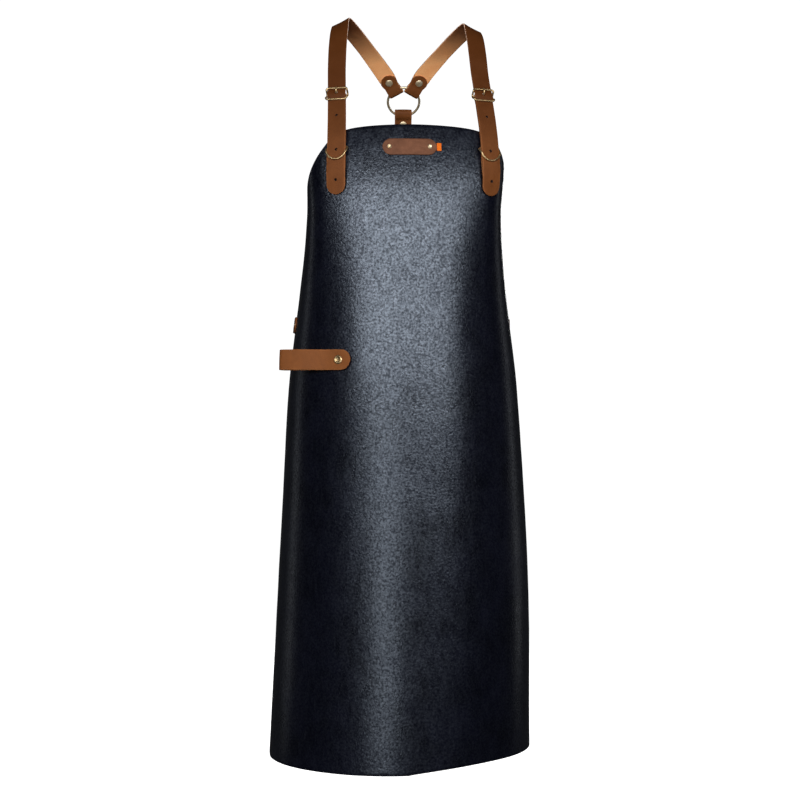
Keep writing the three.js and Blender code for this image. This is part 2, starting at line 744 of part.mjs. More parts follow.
function addLabel() {
  const ends = roundedEnd(LABEL.round);
  const from = LABEL.s - LABEL.half;
  const to = LABEL.s + LABEL.half;
  const stations = [];
  for (const row of ends) stations.push(levelStation(from + row.from, LABEL.z, row.half, GAP));
  const straight = LABEL.half - LABEL.round;
  for (const step of [-1, -0.5, 0, 0.5, 1]) {
    stations.push(levelStation(LABEL.s + step * straight, LABEL.z, LABEL.round, GAP));
  }
  for (const row of ends.reverse()) stations.push(levelStation(to - row.from, LABEL.z, row.half, GAP));
  const places = [-1, 1].map((side) => {
    const frame = panelFrame(LABEL.s + side * LABEL.rivet, LABEL.z);
    frame.point.addScaledVector(frame.normal, GAP + PATCH);
    return frame;
  });
  const cutters = places.map((place) => rivetHole(place, 'label'));
  addPiece('label_patch', cut(ribbon(stations, PATCH), cutters), 'patch');
  addRivet('label_rivet_left', places[0], GAP + PATCH + HIDE, 'label');
  addRivet('label_rivet_right', places[1], GAP + PATCH + HIDE, 'label');
  const ribbonStations = [RIBBON.near, (RIBBON.near + RIBBON.far) / 2, RIBBON.far]
    .map((s) => levelStation(LABEL.s + s, LABEL.z + RIBBON.drop, RIBBON.half, GAP));
  addPiece('ribbon_tab', ribbon(ribbonStations, RIBBON.thick), 'ribbon');
  return places;
}

// The towel loop: a band doubled back on itself, its two ends riveted to the sheet
function addTowelLoop() {
  const frame = panelFrame(TOWEL.s, TOWEL.z);
  const stations = [];
  const add = (along, lift, half) => stations.push({
    point: inFrame(frame, -along, 0, lift),
    across: frame.down.clone().negate(),
    half,
  });
  const inner = GAP + TOWEL.thick;
  const outer = inner + GAP;
  const ends = roundedEnd(TOWEL.half);
  const bendStart = TOWEL.reach - TOWEL.turn;
  for (const row of ends) add(-TOWEL.front + TOWEL.tuck + row.from, inner, row.half);
  for (let k = 1; k <= TOWEL.spans; k += 1) add((bendStart * k) / TOWEL.spans, inner, TOWEL.half);
  for (let k = 1; k < TURN_STEPS; k += 1) {
    const swing = Math.PI * (k / TURN_STEPS - 0.5);
    const lift = inner + TOWEL.turn * (1 + Math.sin(swing));
    add(bendStart + TOWEL.turn * Math.cos(swing), lift, TOWEL.half);
  }
  for (let k = TOWEL.spans; k >= 0; k -= 1) {
    const t = k / TOWEL.spans;
    const ease = t * t * (3 - 2 * t);
    const swell = (TOWEL.bulge - 2 * TOWEL.turn) * Math.sin(Math.PI * t) ** 2;
    const along = THREE.MathUtils.lerp(TOWEL.flat, bendStart, t);
    add(along, outer + (2 * TOWEL.turn - GAP) * ease + swell, TOWEL.half);
  }
  for (const row of ends.reverse()) add(-TOWEL.front + row.from, outer, row.half);
  const place = panelFrame(TOWEL.s, TOWEL.z);
  place.point = inFrame(frame, 0, 0, outer + TOWEL.thick);
  addPiece('towel_loop', cut(ribbon(stations, TOWEL.thick), [rivetHole(place, 'towel')]), 'strap');
  addRivet('towel_loop_rivet', place, outer + TOWEL.thick + HIDE, 'towel');
  return place;
}

// The hide itself, rows from the bib's top edge to the hem
function armholeHalf(z) {
  const t = THREE.MathUtils.clamp((PANEL.bibCorner - z) / (PANEL.bibCorner - PANEL.sideCorner), 0, 1);
  return THREE.MathUtils.lerp(PANEL.bibHalf, PANEL.skirtHalf, t ** PANEL.armholePower);
}

function edgeShift(u, z) {
  const down = THREE.MathUtils.clamp((PANEL.bibCorner - z) / (PANEL.bibCorner - PANEL.sideCorner), 0, 1);
  const low = THREE.MathUtils.clamp((PANEL.sideCorner - z) / (PANEL.sideCorner - PANEL.hem), 0, 1);
  const crown = PANEL.crown * (1 - u ** 2) + PANEL.cornerDrop * (1 - u ** 8);
  const swell = PANEL.hemSwell * Math.sin(Math.PI * Math.max(u, 0) ** 0.8);
  return crown * (1 - down) ** 2 + (PANEL.hemLift * u + swell) * low ** 2;
}

function addPanel(holes) {
  const levels = [];
  for (let i = 0; i < PANEL.armholeRows; i += 1) {
    levels.push(THREE.MathUtils.lerp(PANEL.bibCorner, PANEL.sideCorner, i / PANEL.armholeRows));
  }
  for (let i = 0; i <= PANEL.skirtRows; i += 1) {
    levels.push(THREE.MathUtils.lerp(PANEL.sideCorner, PANEL.hem, i / PANEL.skirtRows));
  }
  const rings = levels.map((level) => {
    const outside = [];
    const inside = [];
    for (let k = 0; k <= PANEL.columns; k += 1) {
      const u = (2 * k) / PANEL.columns - 1;
      const frame = panelFrame(u * armholeHalf(level), level + edgeShift(u, level));
      outside.push(frame.point);
      inside.push(frame.point.clone().addScaledVector(frame.normal, -HIDE));
    }
    return [...outside, ...inside.reverse()];
  });
  addPiece('apron_panel', cut(skin(rings), holes), 'hide');
}

const sides = [
  { name: 'left', side: -1 },
  { name: 'right', side: 1 },
];
const holes = [];
for (const { name, side } of sides) {
  addShoulderStrap(name, side);
  holes.push(rivetHole(addBuckleTab(name, side), 'plain'));
  addBuckle(name, side);
  addKeeper(name, side);
}
addBackRing();
const backPlace = addBackStrap();
for (const place of addWaistStrap(backPlace)) holes.push(rivetHole(place, 'plain'));
for (const place of addLabel()) holes.push(rivetHole(place, 'label'));
holes.push(rivetHole(addTowelLoop(), 'towel'));
addPanel(holes);

export default apron;
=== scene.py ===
"""Leather grill apron: the hide, straps, patch and brass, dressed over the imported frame."""

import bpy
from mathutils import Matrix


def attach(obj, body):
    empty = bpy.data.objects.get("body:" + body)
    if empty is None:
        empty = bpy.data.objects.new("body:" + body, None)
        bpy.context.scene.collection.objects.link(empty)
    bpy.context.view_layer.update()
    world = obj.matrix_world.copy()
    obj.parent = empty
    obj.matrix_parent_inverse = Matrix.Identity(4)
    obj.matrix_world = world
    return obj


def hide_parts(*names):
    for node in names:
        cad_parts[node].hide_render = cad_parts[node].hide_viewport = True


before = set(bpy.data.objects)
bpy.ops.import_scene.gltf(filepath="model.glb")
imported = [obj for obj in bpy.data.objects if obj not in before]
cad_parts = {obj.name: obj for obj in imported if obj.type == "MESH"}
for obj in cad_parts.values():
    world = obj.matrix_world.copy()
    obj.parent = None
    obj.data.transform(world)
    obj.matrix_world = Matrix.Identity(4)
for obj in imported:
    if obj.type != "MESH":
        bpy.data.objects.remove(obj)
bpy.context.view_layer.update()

from collections import namedtuple
from math import acos, atan2, ceil, copysign, cos, hypot, pi, radians, sin, sqrt

import bpy
from bpy.props import FloatProperty, FloatVectorProperty, PointerProperty
from mathutils import Matrix, Vector, noise

bl_info = {
    "name": "Leather grill apron",
    "version": (1, 0, 0),
    "blender": (4, 5, 0),
    "location": "View3D > Sidebar > Apron",
    "description": "Builds a leather bib apron with buckled shoulder straps",
    "category": "Add Mesh",
}

# Tables and routes are in millimetres and are turned to metres where vertices are placed
MM = 0.001
GAP = 0.3
BODY = "root"
SIDES = {"left": -1, "right": 1}
SMALL, TINY = 1e-4, 1e-6


def rows_of(kind, *rows):
    return tuple(kind(*row) for row in rows)


# The worn sheet, level by level from the neck to the hem
Section = namedtuple("Section", "z half_width depth turn front sway slide")
SECTIONS = rows_of(
    Section,
    (-90, 158, 58, 21, -67, -3, 4),
    (-175, 157, 60, 21, -93, -3.5, 10),
    (-245, 153.5, 64, 22, -107, -3.5, 12),
    (-310, 150.5, 75, 26, -114, -4.5, 12),
    (-435, 161, 104, 33, -121, -5, 10),
    (-560, 177, 126, 38, -130, -4.5, 8),
    (-690, 186.5, 143, 41, -139, -3.2, 6),
    (-880, 197, 162, 43, -152, -3.5, 6),
    (-1160, 206, 184, 45, -172, -10, 6),
)
FLARE = radians(4)

# The cut of the hide
BIB_HALF, SKIRT_HALF = 128, 320
BIB_CORNER, SIDE_CORNER, HEM = -194, -455, -1145
ARMHOLE_POWER = 0.93
CROWN, CORNER_DROP = 8, 12
CORNER_POWER, HEM_POWER = 8, 0.8
HEM_LIFT, HEM_SWELL = 6, 7.5

# The shoulder strap: over the shoulder, then down the bib with its lift off the hide
Shoulder = namedtuple("Shoulder", "x y z across share")
SHOULDER = rows_of(
    Shoulder,
    (62, 57, -30.5, (0.86, 0.45, -0.24), 0.5),
    (90, 20, -6.5, (0.89, 0.33, -0.3), 0.9),
    (101, -3, -3.5, (0.88, 0.05, -0.47), 1),
    (105, -24, -19, (0.95, 0.08, -0.3), 0.9),
    (108, -44, -52, (0.98, 0.18, -0.12), 0.4),
)
SHOULDER_DROP = 3.7
Lift = namedtuple("Lift", "z lift")
STRAP_LIFT = rows_of(
    Lift,
    (-92, 6), (-108, 6.2), (-118.9, 6.6), (-123.6, 8), (-127.8, 8.6), (-132, 7.9),
    (-136.7, 6.8), (-148, 6.8), (-165, 7.1), (-193, 7.4), (-212, 6.6), (-230, 6.2),
    (-242, 5.6), (-250, 4.7), (-261, 2.8), (-270, 1.3), (-281, 0.6),
)
TAB_LIFT = rows_of(
    Lift,
    (-139.5, 4.3), (-150, 4.2), (-165, 4.6), (-181, 5.1), (-193, 5.1),
    (-205, 4.5), (-222, 2.6), (-236, 1.9), (-250, 1.9),
)
Spot = namedtuple("Spot", "z s")
STRAP_TOP, STRAP_TIP = Spot(-112, 111), Spot(-281.5, 120.5)
STRAP_HALF, STRAP_TIP_HALF = 14.2, 15
STRAP_HOLES = (-162, -214.8, -260)
STRAP_HOLE, HOLE_TAPER, HOLE_OVERSHOOT = 2.4, 0.2, 1.4

Wire = namedtuple("Wire", "radius steps sides broad", defaults=(1.0,))
Buckle = namedtuple("Buckle", "z half_height half_width wire bar bar_lift rim_lift corner")
BUCKLE = Buckle(-127.8, 9.3, 16.4, Wire(1.5, 120, 14), 1.33, 4.5, 11, 3.2)
Slot = namedtuple("Slot", "rise lift radius depth stretch")
STRAP_SLOT = Slot(1.6, 6, 1.8, 12, 1.4)
TAB_SLOT = Slot(0, 0, 2.2, 16, 1.5)
Tongue = namedtuple("Tongue", "down lift radius")
TONGUE = rows_of(
    Tongue,
    (0, 6.9, 1.5),
    (-0.6, 9.1, 1.5),
    (-2.6, 12.4, 1.45),
    (-5.6, 14.1, 1.35),
    (-11.1, 13.9, 1.15),
)
BAR_RINGS, TONGUE_RINGS = 24, 48
Collar = namedtuple("Collar", "radius wire")
COLLAR = Collar(2.3, Wire(0.72, 36, 12, 2.2))
Keeper = namedtuple("Keeper", "z half_width drop rise wire back_lift front_lift step")
KEEPER = Keeper(-212.5, 16.4, 17.6, 7, Wire(1.35, 120, 12), 1.6, 10.6, 0.4)
Tab = namedtuple("Tab", "half thick rivet_z wrap")
TAB = Tab(13, 1.6, -237, 1.9)

Ring = namedtuple("Ring", "y z radius wire lean")
RING = Ring(115, -99.6, 26, Wire(2, 96, 16), radians(38.7))
RING_MIDDLE = Vector((0, RING.y, RING.z))
RING_LEAN = Vector((0, -sin(RING.lean), cos(RING.lean)))
Fold = namedtuple("Fold", "angle heading tilt half wide free join rivet")
FOLD_RAMP = ((0.66, 0.2), (0.33, 0.66), (0, 0.98))
FOLD_STEPS = 6
FOLD_FREE, FOLD_JOIN, FOLD_MARGIN = 6, 9, 1
STRAP_FOLD = Fold(53, 58.5, 0, 12, 14.2, 30, 33, 17)
BACK_FOLD = Fold(-90, -90, 15, 14, 14, 31, 34, 14)
BACK_RUN = ((152, -200), (151, -280), (140, -370), (131.6, -440), (130.8, -490))
Waist = namedtuple("Waist", "z half front edge back")
WAIST = Waist(-472, 12.5, 283, 324, 128)
WAIST_RUN = ((173, 108), (155, 121.5), (108, 127.3), (54, 128))

Label = namedtuple("Label", "s z half round rivet")
LABEL = Label(-6.7, -210, 41, 12.9, 30.5)
Ribbon = namedtuple("Ribbon", "near far half thick drop")
RIBBON = Ribbon(41.3, 48.5, 6.3, 1.3, 0.5)
Towel = namedtuple("Towel", "s z half thick front flat reach bulge turn")
TOWEL = Towel(-112, -532.5, 15.5, 2.2, 20, 9, 96, 13, 6)
Rivet = namedtuple("Rivet", "head post dome dish brass")
RIVETS = {
    "strap": Rivet(6, 2, 1.9, False, "rivet_brass"),
    "plain": Rivet(4.5, 1.8, 0.9, False, "rivet_brass"),
    "label": Rivet(3.5, 1.3, 1.4, True, "rivet_brass"),
    "towel": Rivet(6.9, 2.2, 1.6, True, "antique_brass"),
}
WASHER_GAP, WASHER_SHARE = 0.7, 0.8
WASHER = ((0.5, -0.9), (0.9, -0.8), (1, -0.55), (1, 0))
DOMED = ((0.97, 0), (1, 0.18), (0.99, 0.38), (0.93, 0.6), (0.82, 0.76), (0.6, 0.9), (0.35, 0.97), (0.08, 1))
DISHED = (
    (0.97, 0), (1, 0.2), (0.98, 0.5), (0.9, 0.8), (0.78, 1), (0.66, 0.95), (0.57, 0.7), (0.5, 0.3),
    (0.38, 0.16), (0.08, 0.12))

# The hide never lies quite even: broad swells with small dents in them
Swell = namedtuple("Swell", "across down seed height")
SWELLS = (Swell(105, 190, 3.7, 1.1), Swell(34, 48, 9.2, 0.28))

# How finely the pieces are laid out, and how far their cut edges are rounded
HIDE_COLUMNS, HIDE_ROWS = 112, 176
STRAP_STEP, TAB_STEP, TIP_CLEAR = 10, 13, 4
PATCH_SPANS, TOWEL_SPANS, TOWEL_INSET = 4, 8, 2
CUT_EDGE, TAB_EDGE, RIBBON_EDGE = 0.4, 0.3, 0.55
CUTTER_SIDES, TURNED_SIDES, RUN_SIDES = 24, 32, 14
HALF_TURN = [radians(30 * k - 90) for k in range(7)]


# Sums used throughout
def lerp(a, b, t):
    return a + (b - a) * t


def clamp(value, low=0.0, high=1.0):
    return min(max(value, low), high)


def share_of(z, start, end):
    return (z - start) / (end - start)


def eased(t):
    return t * t * (3 - 2 * t)


# Reading a table between its rows, with smooth slopes
def slope_at(table, column, i):
    before = table[max(i - 1, 0)]
    after = table[min(i + 1, len(table) - 1)]
    return (after[column] - before[column]) / (after.z - before.z)


def row_at(table, z):
    i = 0
    while i < len(table) - 2 and z < table[i + 1].z:
        i += 1
    span = table[i + 1].z - table[i].z
    t = share_of(z, table[i].z, table[i + 1].z)
    bend = t * (1 - t) * span
    values = []
    for column, (a, b) in enumerate(zip(table[i], table[i + 1])):
        pull = (1 - t) * slope_at(table, column, i) - t * slope_at(table, column, i + 1)
        values.append(lerp(a, b, eased(t)) + bend * pull)
    return type(table[i])(*values)


def unevenness(s, z):
    return sum(
        swell.height * noise.noise(Vector((s / swell.across, z / swell.down, swell.seed)))
        for swell in SWELLS)


# The outer face of the sheet at s along it from its middle line and height z
def panel_point(s, z):
    row = row_at(SECTIONS, z)
    turn = radians(row.turn)
    rise, run = sin(turn), cos(turn)
    share = rise + run - 1
    front_radius = (row.half_width * run - row.depth * (1 - rise)) / share
    side_radius = (row.depth * rise - row.half_width * (1 - run)) / share
    last = pi / 2 - FLARE
    along = abs(s + row.slide)
    front_turn = min(along / front_radius, turn)
    side_turn = min(turn + max(0, along - front_radius * turn) / side_radius, last)
    tail = max(0, along - front_radius * turn - side_radius * (last - turn))
    x = front_radius * sin(front_turn) + side_radius * (sin(side_turn) - rise)
    y = front_radius * (1 - cos(front_turn)) + side_radius * (run - cos(side_turn))
    x += tail * sin(FLARE)
    y += tail * cos(FLARE)
    facing = front_turn if side_turn <= turn else side_turn
    swell = unevenness(s, z)
    x += swell * sin(facing)
    y -= swell * cos(facing)
    return Vector((row.sway + copysign(x, s + row.slide), row.front + y, z))


Place = namedtuple("Place", "point across down normal")


def panel_place(s, z, lift=0.0):
    probe = 0.5
    across = (panel_point(s + probe, z) - panel_point(s - probe, z)).normalized()
    fall = (panel_point(s, z - probe) - panel_point(s, z + probe)).normalized()
    normal = fall.cross(across).normalized()
    down = across.cross(normal).normalized()
    return Place(panel_point(s, z) + normal * lift, across, down, normal)


def in_place(place, across, down, lift):
    return place.point + place.across * across + place.down * down + place.normal * lift


def strap_place(side, z, lift=0.0):
    t = share_of(z, STRAP_TOP.z, STRAP_TIP.z)
    return panel_place(side * lerp(STRAP_TOP.s, STRAP_TIP.s, t), z, lift)


# Selecting, finishing and handing over a piece
SMOOTH_ANGLE, BEVEL_ANGLE = radians(40), radians(55)


def clear_selection():
    if bpy.context.mode != "OBJECT":
        bpy.ops.object.mode_set(mode="OBJECT")
    bpy.ops.object.select_all(action="DESELECT")


def pick(obj):
    clear_selection()
    obj.select_set(True)
    bpy.context.view_layer.objects.active = obj


def started(name):
    obj = bpy.context.object
    obj.name = name
    obj.data.name = name
    return obj


def face_out():
    bpy.ops.mesh.select_all(action="SELECT")
    bpy.ops.mesh.normals_make_consistent(inside=False)
    bpy.ops.object.mode_set(mode="OBJECT")


# A level disc, left in edit mode with all of it selected
def disc(name, sides, radius, height):
    clear_selection()
    bpy.ops.mesh.primitive_circle_add(
        vertices=sides, radius=radius, fill_type="NGON", location=(0, 0, height))
    obj = started(name)
    bpy.ops.object.transform_apply()
    bpy.ops.object.mode_set(mode="EDIT")
    bpy.ops.mesh.select_all(action="SELECT")
    return obj


def modify(obj, kind, **settings):
    pick(obj)
    bpy.ops.object.modifier_add(type=kind)
    modifier = obj.modifiers[-1]
    for key, value in settings.items():
        setattr(modifier, key, value)
    bpy.ops.object.modifier_apply(modifier=modifier.name)


def dress(obj, names):
    for name in names:
        obj.data.materials.append(finish(name))


def hand_over(obj, node, names=()):
    pick(obj)
    bpy.ops.object.transform_apply()
    bpy.ops.object.shade_smooth_by_angle(angle=SMOOTH_ANGLE)
    dress(obj, names)
    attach(obj, BODY)
    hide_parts(node)


# A grid whose corners (u, v) from 0 to 1 are laid out by a function in millimetres
def laid_grid(name, columns, rows, lay):
    clear_selection()
    bpy.ops.mesh.primitive_grid_add(x_subdivisions=columns, y_subdivisions=rows, size=1)
    obj = started(name)
    for vertex in obj.data.vertices:
        vertex.co = lay(vertex.co.x + 0.5, vertex.co.y + 0.5) * MM
    return obj


# Names give the finishes of the grain side, the flesh side and the cut edge
def give_thickness(obj, thick, edge, names):
    dress(obj, names)
    modify(obj, "SOLIDIFY", thickness=thick * MM, offset=-1, material_offset=1, material_offset_rim=2)
    modify(
        obj, "BEVEL", width=edge * MM, segments=2, limit_method="ANGLE", angle_limit=BEVEL_ANGLE,
        use_clamp_overlap=False)


# Smooth routes of straps through a few controls
Station = namedtuple("Station", "point across half")
ROUTE_STEPS = 16
ROW_LENGTH = 2.8
ROW_TURN = radians(13)
END_ROWS = 6
BLUNT_SHARE = 0.2
STRIP_CROWN = 0.25


def between(a, b, low, high, at):
    return a * ((high - at) / (high - low)) + b * ((at - low) / (high - low))


# A point of the centripetal curve between the second and third of four points
def centripetal(points, t):
    knots = [0.0]
    for start, end in zip(points, points[1:]):
        knots.append(knots[-1] + max((end - start).length ** 0.5, SMALL))
    at = lerp(knots[1], knots[2], t)
    first, middle, last = (between(*points[i:i + 2], *knots[i:i + 2], at) for i in range(3))
    before = between(first, middle, knots[0], knots[2], at)
    after = between(middle, last, knots[1], knots[3], at)
    return between(before, after, knots[1], knots[2], at)


def smooth_route(controls):
    first, last = controls[0].point, controls[-1].point
    points = [2 * first - controls[1].point, *(c.point for c in controls), 2 * last - controls[-2].point]
    route = []
    for i in range(len(controls) - 1):
        here, there = controls[i], controls[i + 1]
        for k in range(ROUTE_STEPS):
            t = k / ROUTE_STEPS
            point = centripetal(points[i:i + 4], t)
            across = here.across.lerp(there.across, t).normalized()
            route.append(Station(point, across, lerp(here.half, there.half, t)))
    route.append(controls[-1])
    return route


def route_lengths(route):
    lengths = [0.0]
    for before, after in zip(route, route[1:]):
        lengths.append(lengths[-1] + (after.point - before.point).length)
    return lengths


# Where the rows of a strip go: close together in bends and at rounded ends
def strip_rows(route, lengths, rounded):
    total = lengths[-1]
    rows = [0.0, total]
    spent = 0.0
    for i in range(1, len(route) - 1):
        before = route[i].point - route[i - 1].point
        after = route[i + 1].point - route[i].point
        spent += before.length / ROW_LENGTH + before.angle(after) / ROW_TURN
        if spent >= 1:
            rows.append(lengths[i])
            spent = 0.0
    for end, is_round in zip((0, 1), rounded):
        half = route[-end].half
        if not is_round:
            continue
        rows = [row for row in rows if abs(row - end * total) > half or row == end * total]
        for k in range(1, END_ROWS + 1):
            inset = half * (1 - cos(pi / 2 * k / END_ROWS))
            rows.append(abs(end * total - inset))
    return sorted(rows)


def end_share(distance, half):
    return max(sqrt(1 - (1 - clamp(distance / half)) ** 2), BLUNT_SHARE)


# A leather strip with its grain side out: thickness grows inwards to the route
def strip(name, controls, thick, names, rounded=(True, True), columns=8, edge=CUT_EDGE):
    route = smooth_route(controls)
    lengths = route_lengths(route)
    rows = strip_rows(route, lengths, rounded)
    lines = []
    i = 0
    for row in rows:
        while i < len(route) - 2 and lengths[i + 1] < row:
            i += 1
        t = clamp((row - lengths[i]) / max(lengths[i + 1] - lengths[i], TINY))
        here, there = route[i], route[i + 1]
        tangent = (route[min(i + 2, len(route) - 1)].point - route[max(i - 1, 0)].point).normalized()
        outer = tangent.cross(here.across.lerp(there.across, t)).normalized()
        across = outer.cross(tangent).normalized()
        half = lerp(here.half, there.half, t)
        for is_round, distance in zip(rounded, (row, lengths[-1] - row)):
            if is_round:
                half *= end_share(distance, lerp(here.half, there.half, t))
        lines.append((here.point.lerp(there.point, t), across, outer, half))

    def lay(u, v):
        point, across, outer, half = lines[round(v * (len(lines) - 1))]
        side = 1 - 2 * u
        return point + across * (side * half) + outer * (thick + STRIP_CROWN * (1 - side * side))

    obj = laid_grid(name, columns, len(lines) - 1, lay)
    give_thickness(obj, thick, edge, names)
    return obj


def placed(place):
    basis = Matrix((place.across, -place.down, place.normal)).transposed().to_4x4()
    basis.translation = place.point * MM
    return basis


# Holes are punched by a cutter that leaves dark walls, painted shade in the holes
def punch(obj, place, radius, depth, stretch=1.0, narrow=1.0):
    clear_selection()
    bpy.ops.mesh.primitive_cone_add(
        vertices=CUTTER_SIDES, radius1=radius * narrow * MM, radius2=radius * MM, depth=depth * MM)
    cutter = started("cutter")
    cutter.matrix_world = placed(place) @ Matrix.Diagonal((1, stretch, 1, 1))
    dress(cutter, ["hole_wall"])
    pick(cutter)
    bpy.ops.object.transform_apply()
    modify(obj, "BOOLEAN", operation="DIFFERENCE", object=cutter, solver="EXACT", material_mode="TRANSFER")
    bpy.data.objects.remove(cutter, do_unlink=True)


# The opening for a buckle's tongue
def cut_slot(obj, side, slot):
    place = strap_place(side, BUCKLE.z + slot.rise, BUCKLE.bar_lift + slot.lift)
    punch(obj, place, slot.radius, slot.depth, slot.stretch)


# Wire bent along a closed loop, from a ring, and along an open run, from a ball
TUBE, TURN_PROBE, BALL_BLUNT = 0.25, 0.02, 4


def wire_frame(run, facing):
    tangent = run.normalized()
    side = tangent.cross(facing).normalized()
    return side, side.cross(tangent).normalized()


def wire_loop(name, path, facing, wire):
    clear_selection()
    bpy.ops.mesh.primitive_torus_add(
        major_segments=wire.steps, minor_segments=wire.sides, major_radius=1, minor_radius=TUBE)
    obj = started(name)
    for vertex in obj.data.vertices:
        turn = atan2(vertex.co.y, vertex.co.x)
        away = (hypot(vertex.co.x, vertex.co.y) - 1) / TUBE
        rise = vertex.co.z / TUBE
        side, up = wire_frame(path(turn + TURN_PROBE) - path(turn - TURN_PROBE), facing)
        vertex.co = (path(turn) + (side * away + up * rise * wire.broad) * wire.radius) * MM
    return obj


def wire_run(name, points, radii, facing, rings):
    controls = [Station(point, facing, radius) for point, radius in zip(points, radii)]
    route = smooth_route(controls)
    clear_selection()
    bpy.ops.mesh.primitive_uv_sphere_add(segments=RUN_SIDES, ring_count=rings, radius=1)
    obj = started(name)
    last = len(route) - 1
    for vertex in obj.data.vertices:
        fall = acos(clamp(vertex.co.z, -1, 1)) / pi
        i = round(fall * last)
        side, up = wire_frame(route[min(i + 1, last)].point - route[max(i - 1, 0)].point, facing)
        spin = Vector((vertex.co.x, vertex.co.y, 0))
        spin = spin.normalized() if spin.length > TINY else spin
        swell = route[i].half * sqrt(clamp(sin(pi * fall) * BALL_BLUNT))
        vertex.co = (route[i].point + (side * spin.x + up * spin.y) * swell) * MM
    pick(obj)
    bpy.ops.object.mode_set(mode="EDIT")
    face_out()
    return obj


# A turned form: a disc drawn up through rows of radius and height
def turned(name, profile):
    radius, height = profile[0]
    obj = disc(name, TURNED_SIDES, radius * MM, height * MM)
    for next_radius, next_height in profile[1:]:
        step = (0, 0, (next_height - height) * MM)
        bpy.ops.mesh.extrude_region_move(TRANSFORM_OT_translate={"value": step})
        share = next_radius / radius
        bpy.ops.transform.resize(value=(share, share, 1), center_override=(0, 0, next_height * MM))
        radius, height = next_radius, next_height
    face_out()
    return obj


def joined(obj, *others):
    pick(obj)
    for other in others:
        other.select_set(True)
    bpy.ops.object.join()
    return bpy.context.object


# Procedural finishes, read in object space so that nothing slides
Pattern = namedtuple("Pattern", "scale detail rough distortion squash", defaults=(0.0, 1.0))
PATTERNS = {
    "hide_speckle": Pattern(370, 0.4, 0.5),
    "hide_pores": Pattern(300, 1.5, 0.6),
    "hide_creases": Pattern(95, 5.0, 0.62, 0.6, 0.35),
    "hide_mottle": Pattern(16, 4.0, 0.6, 0.4),
    "hide_scuffs": Pattern(210, 3.0, 0.7, 1.2, 0.22),
    "hide_nap": Pattern(700, 4.0, 0.7),
    "strap_nap": Pattern(900, 4.0, 0.7),
    "nap_patches": Pattern(34, 4.0, 0.6, 0.5),
    "edge_layers": Pattern(700, 3.0, 0.65, 0.3),
    "edge_stain": Pattern(60, 3.0, 0.55),
    "brown_pores": Pattern(1250, 3.0, 0.6),
    "brown_pull": Pattern(42, 5.0, 0.62, 0.5),
    "brass_tarnish": Pattern(140, 5.0, 0.65, 0.6),
    "brass_rub": Pattern(900, 3.0, 0.6),
    "backdrop": Pattern(3, 2.0, 0.55),
}
Cells = namedtuple("Cells", "scale warp feature")
HIDE_GROOVES = Cells(420, 0.0018, "DISTANCE_TO_EDGE")
BROWN_GRAIN = Cells(620, 0.0012, "SMOOTH_F1")
CELL_WANDER, CELL_SMOOTHNESS = 0.45, 0.35
MIX_SHARE, MIX_FIRST, MIX_SECOND, MIX_COLOUR = 0, 6, 7, 2
RIBBON_THREADS = 5200

# Heights and depths in metres between which the straps' tones change
# Heights between which painted shade comes in on the straps' flesh side towards the shoulder
SHOULDER_PAINTED_SHADE = (-0.036, 0.006)
RAW_EDGE = (-0.06, -0.03)
DARK_TOP_HEIGHT = (-0.23, -0.12)
DARK_TOP_DEPTH = (0.035, 0.07)
DARK_TOP_SHARE = 0.75


def rgba(colour):
    return colour if isinstance(colour, bpy.types.NodeSocket) else (*colour, 1.0)


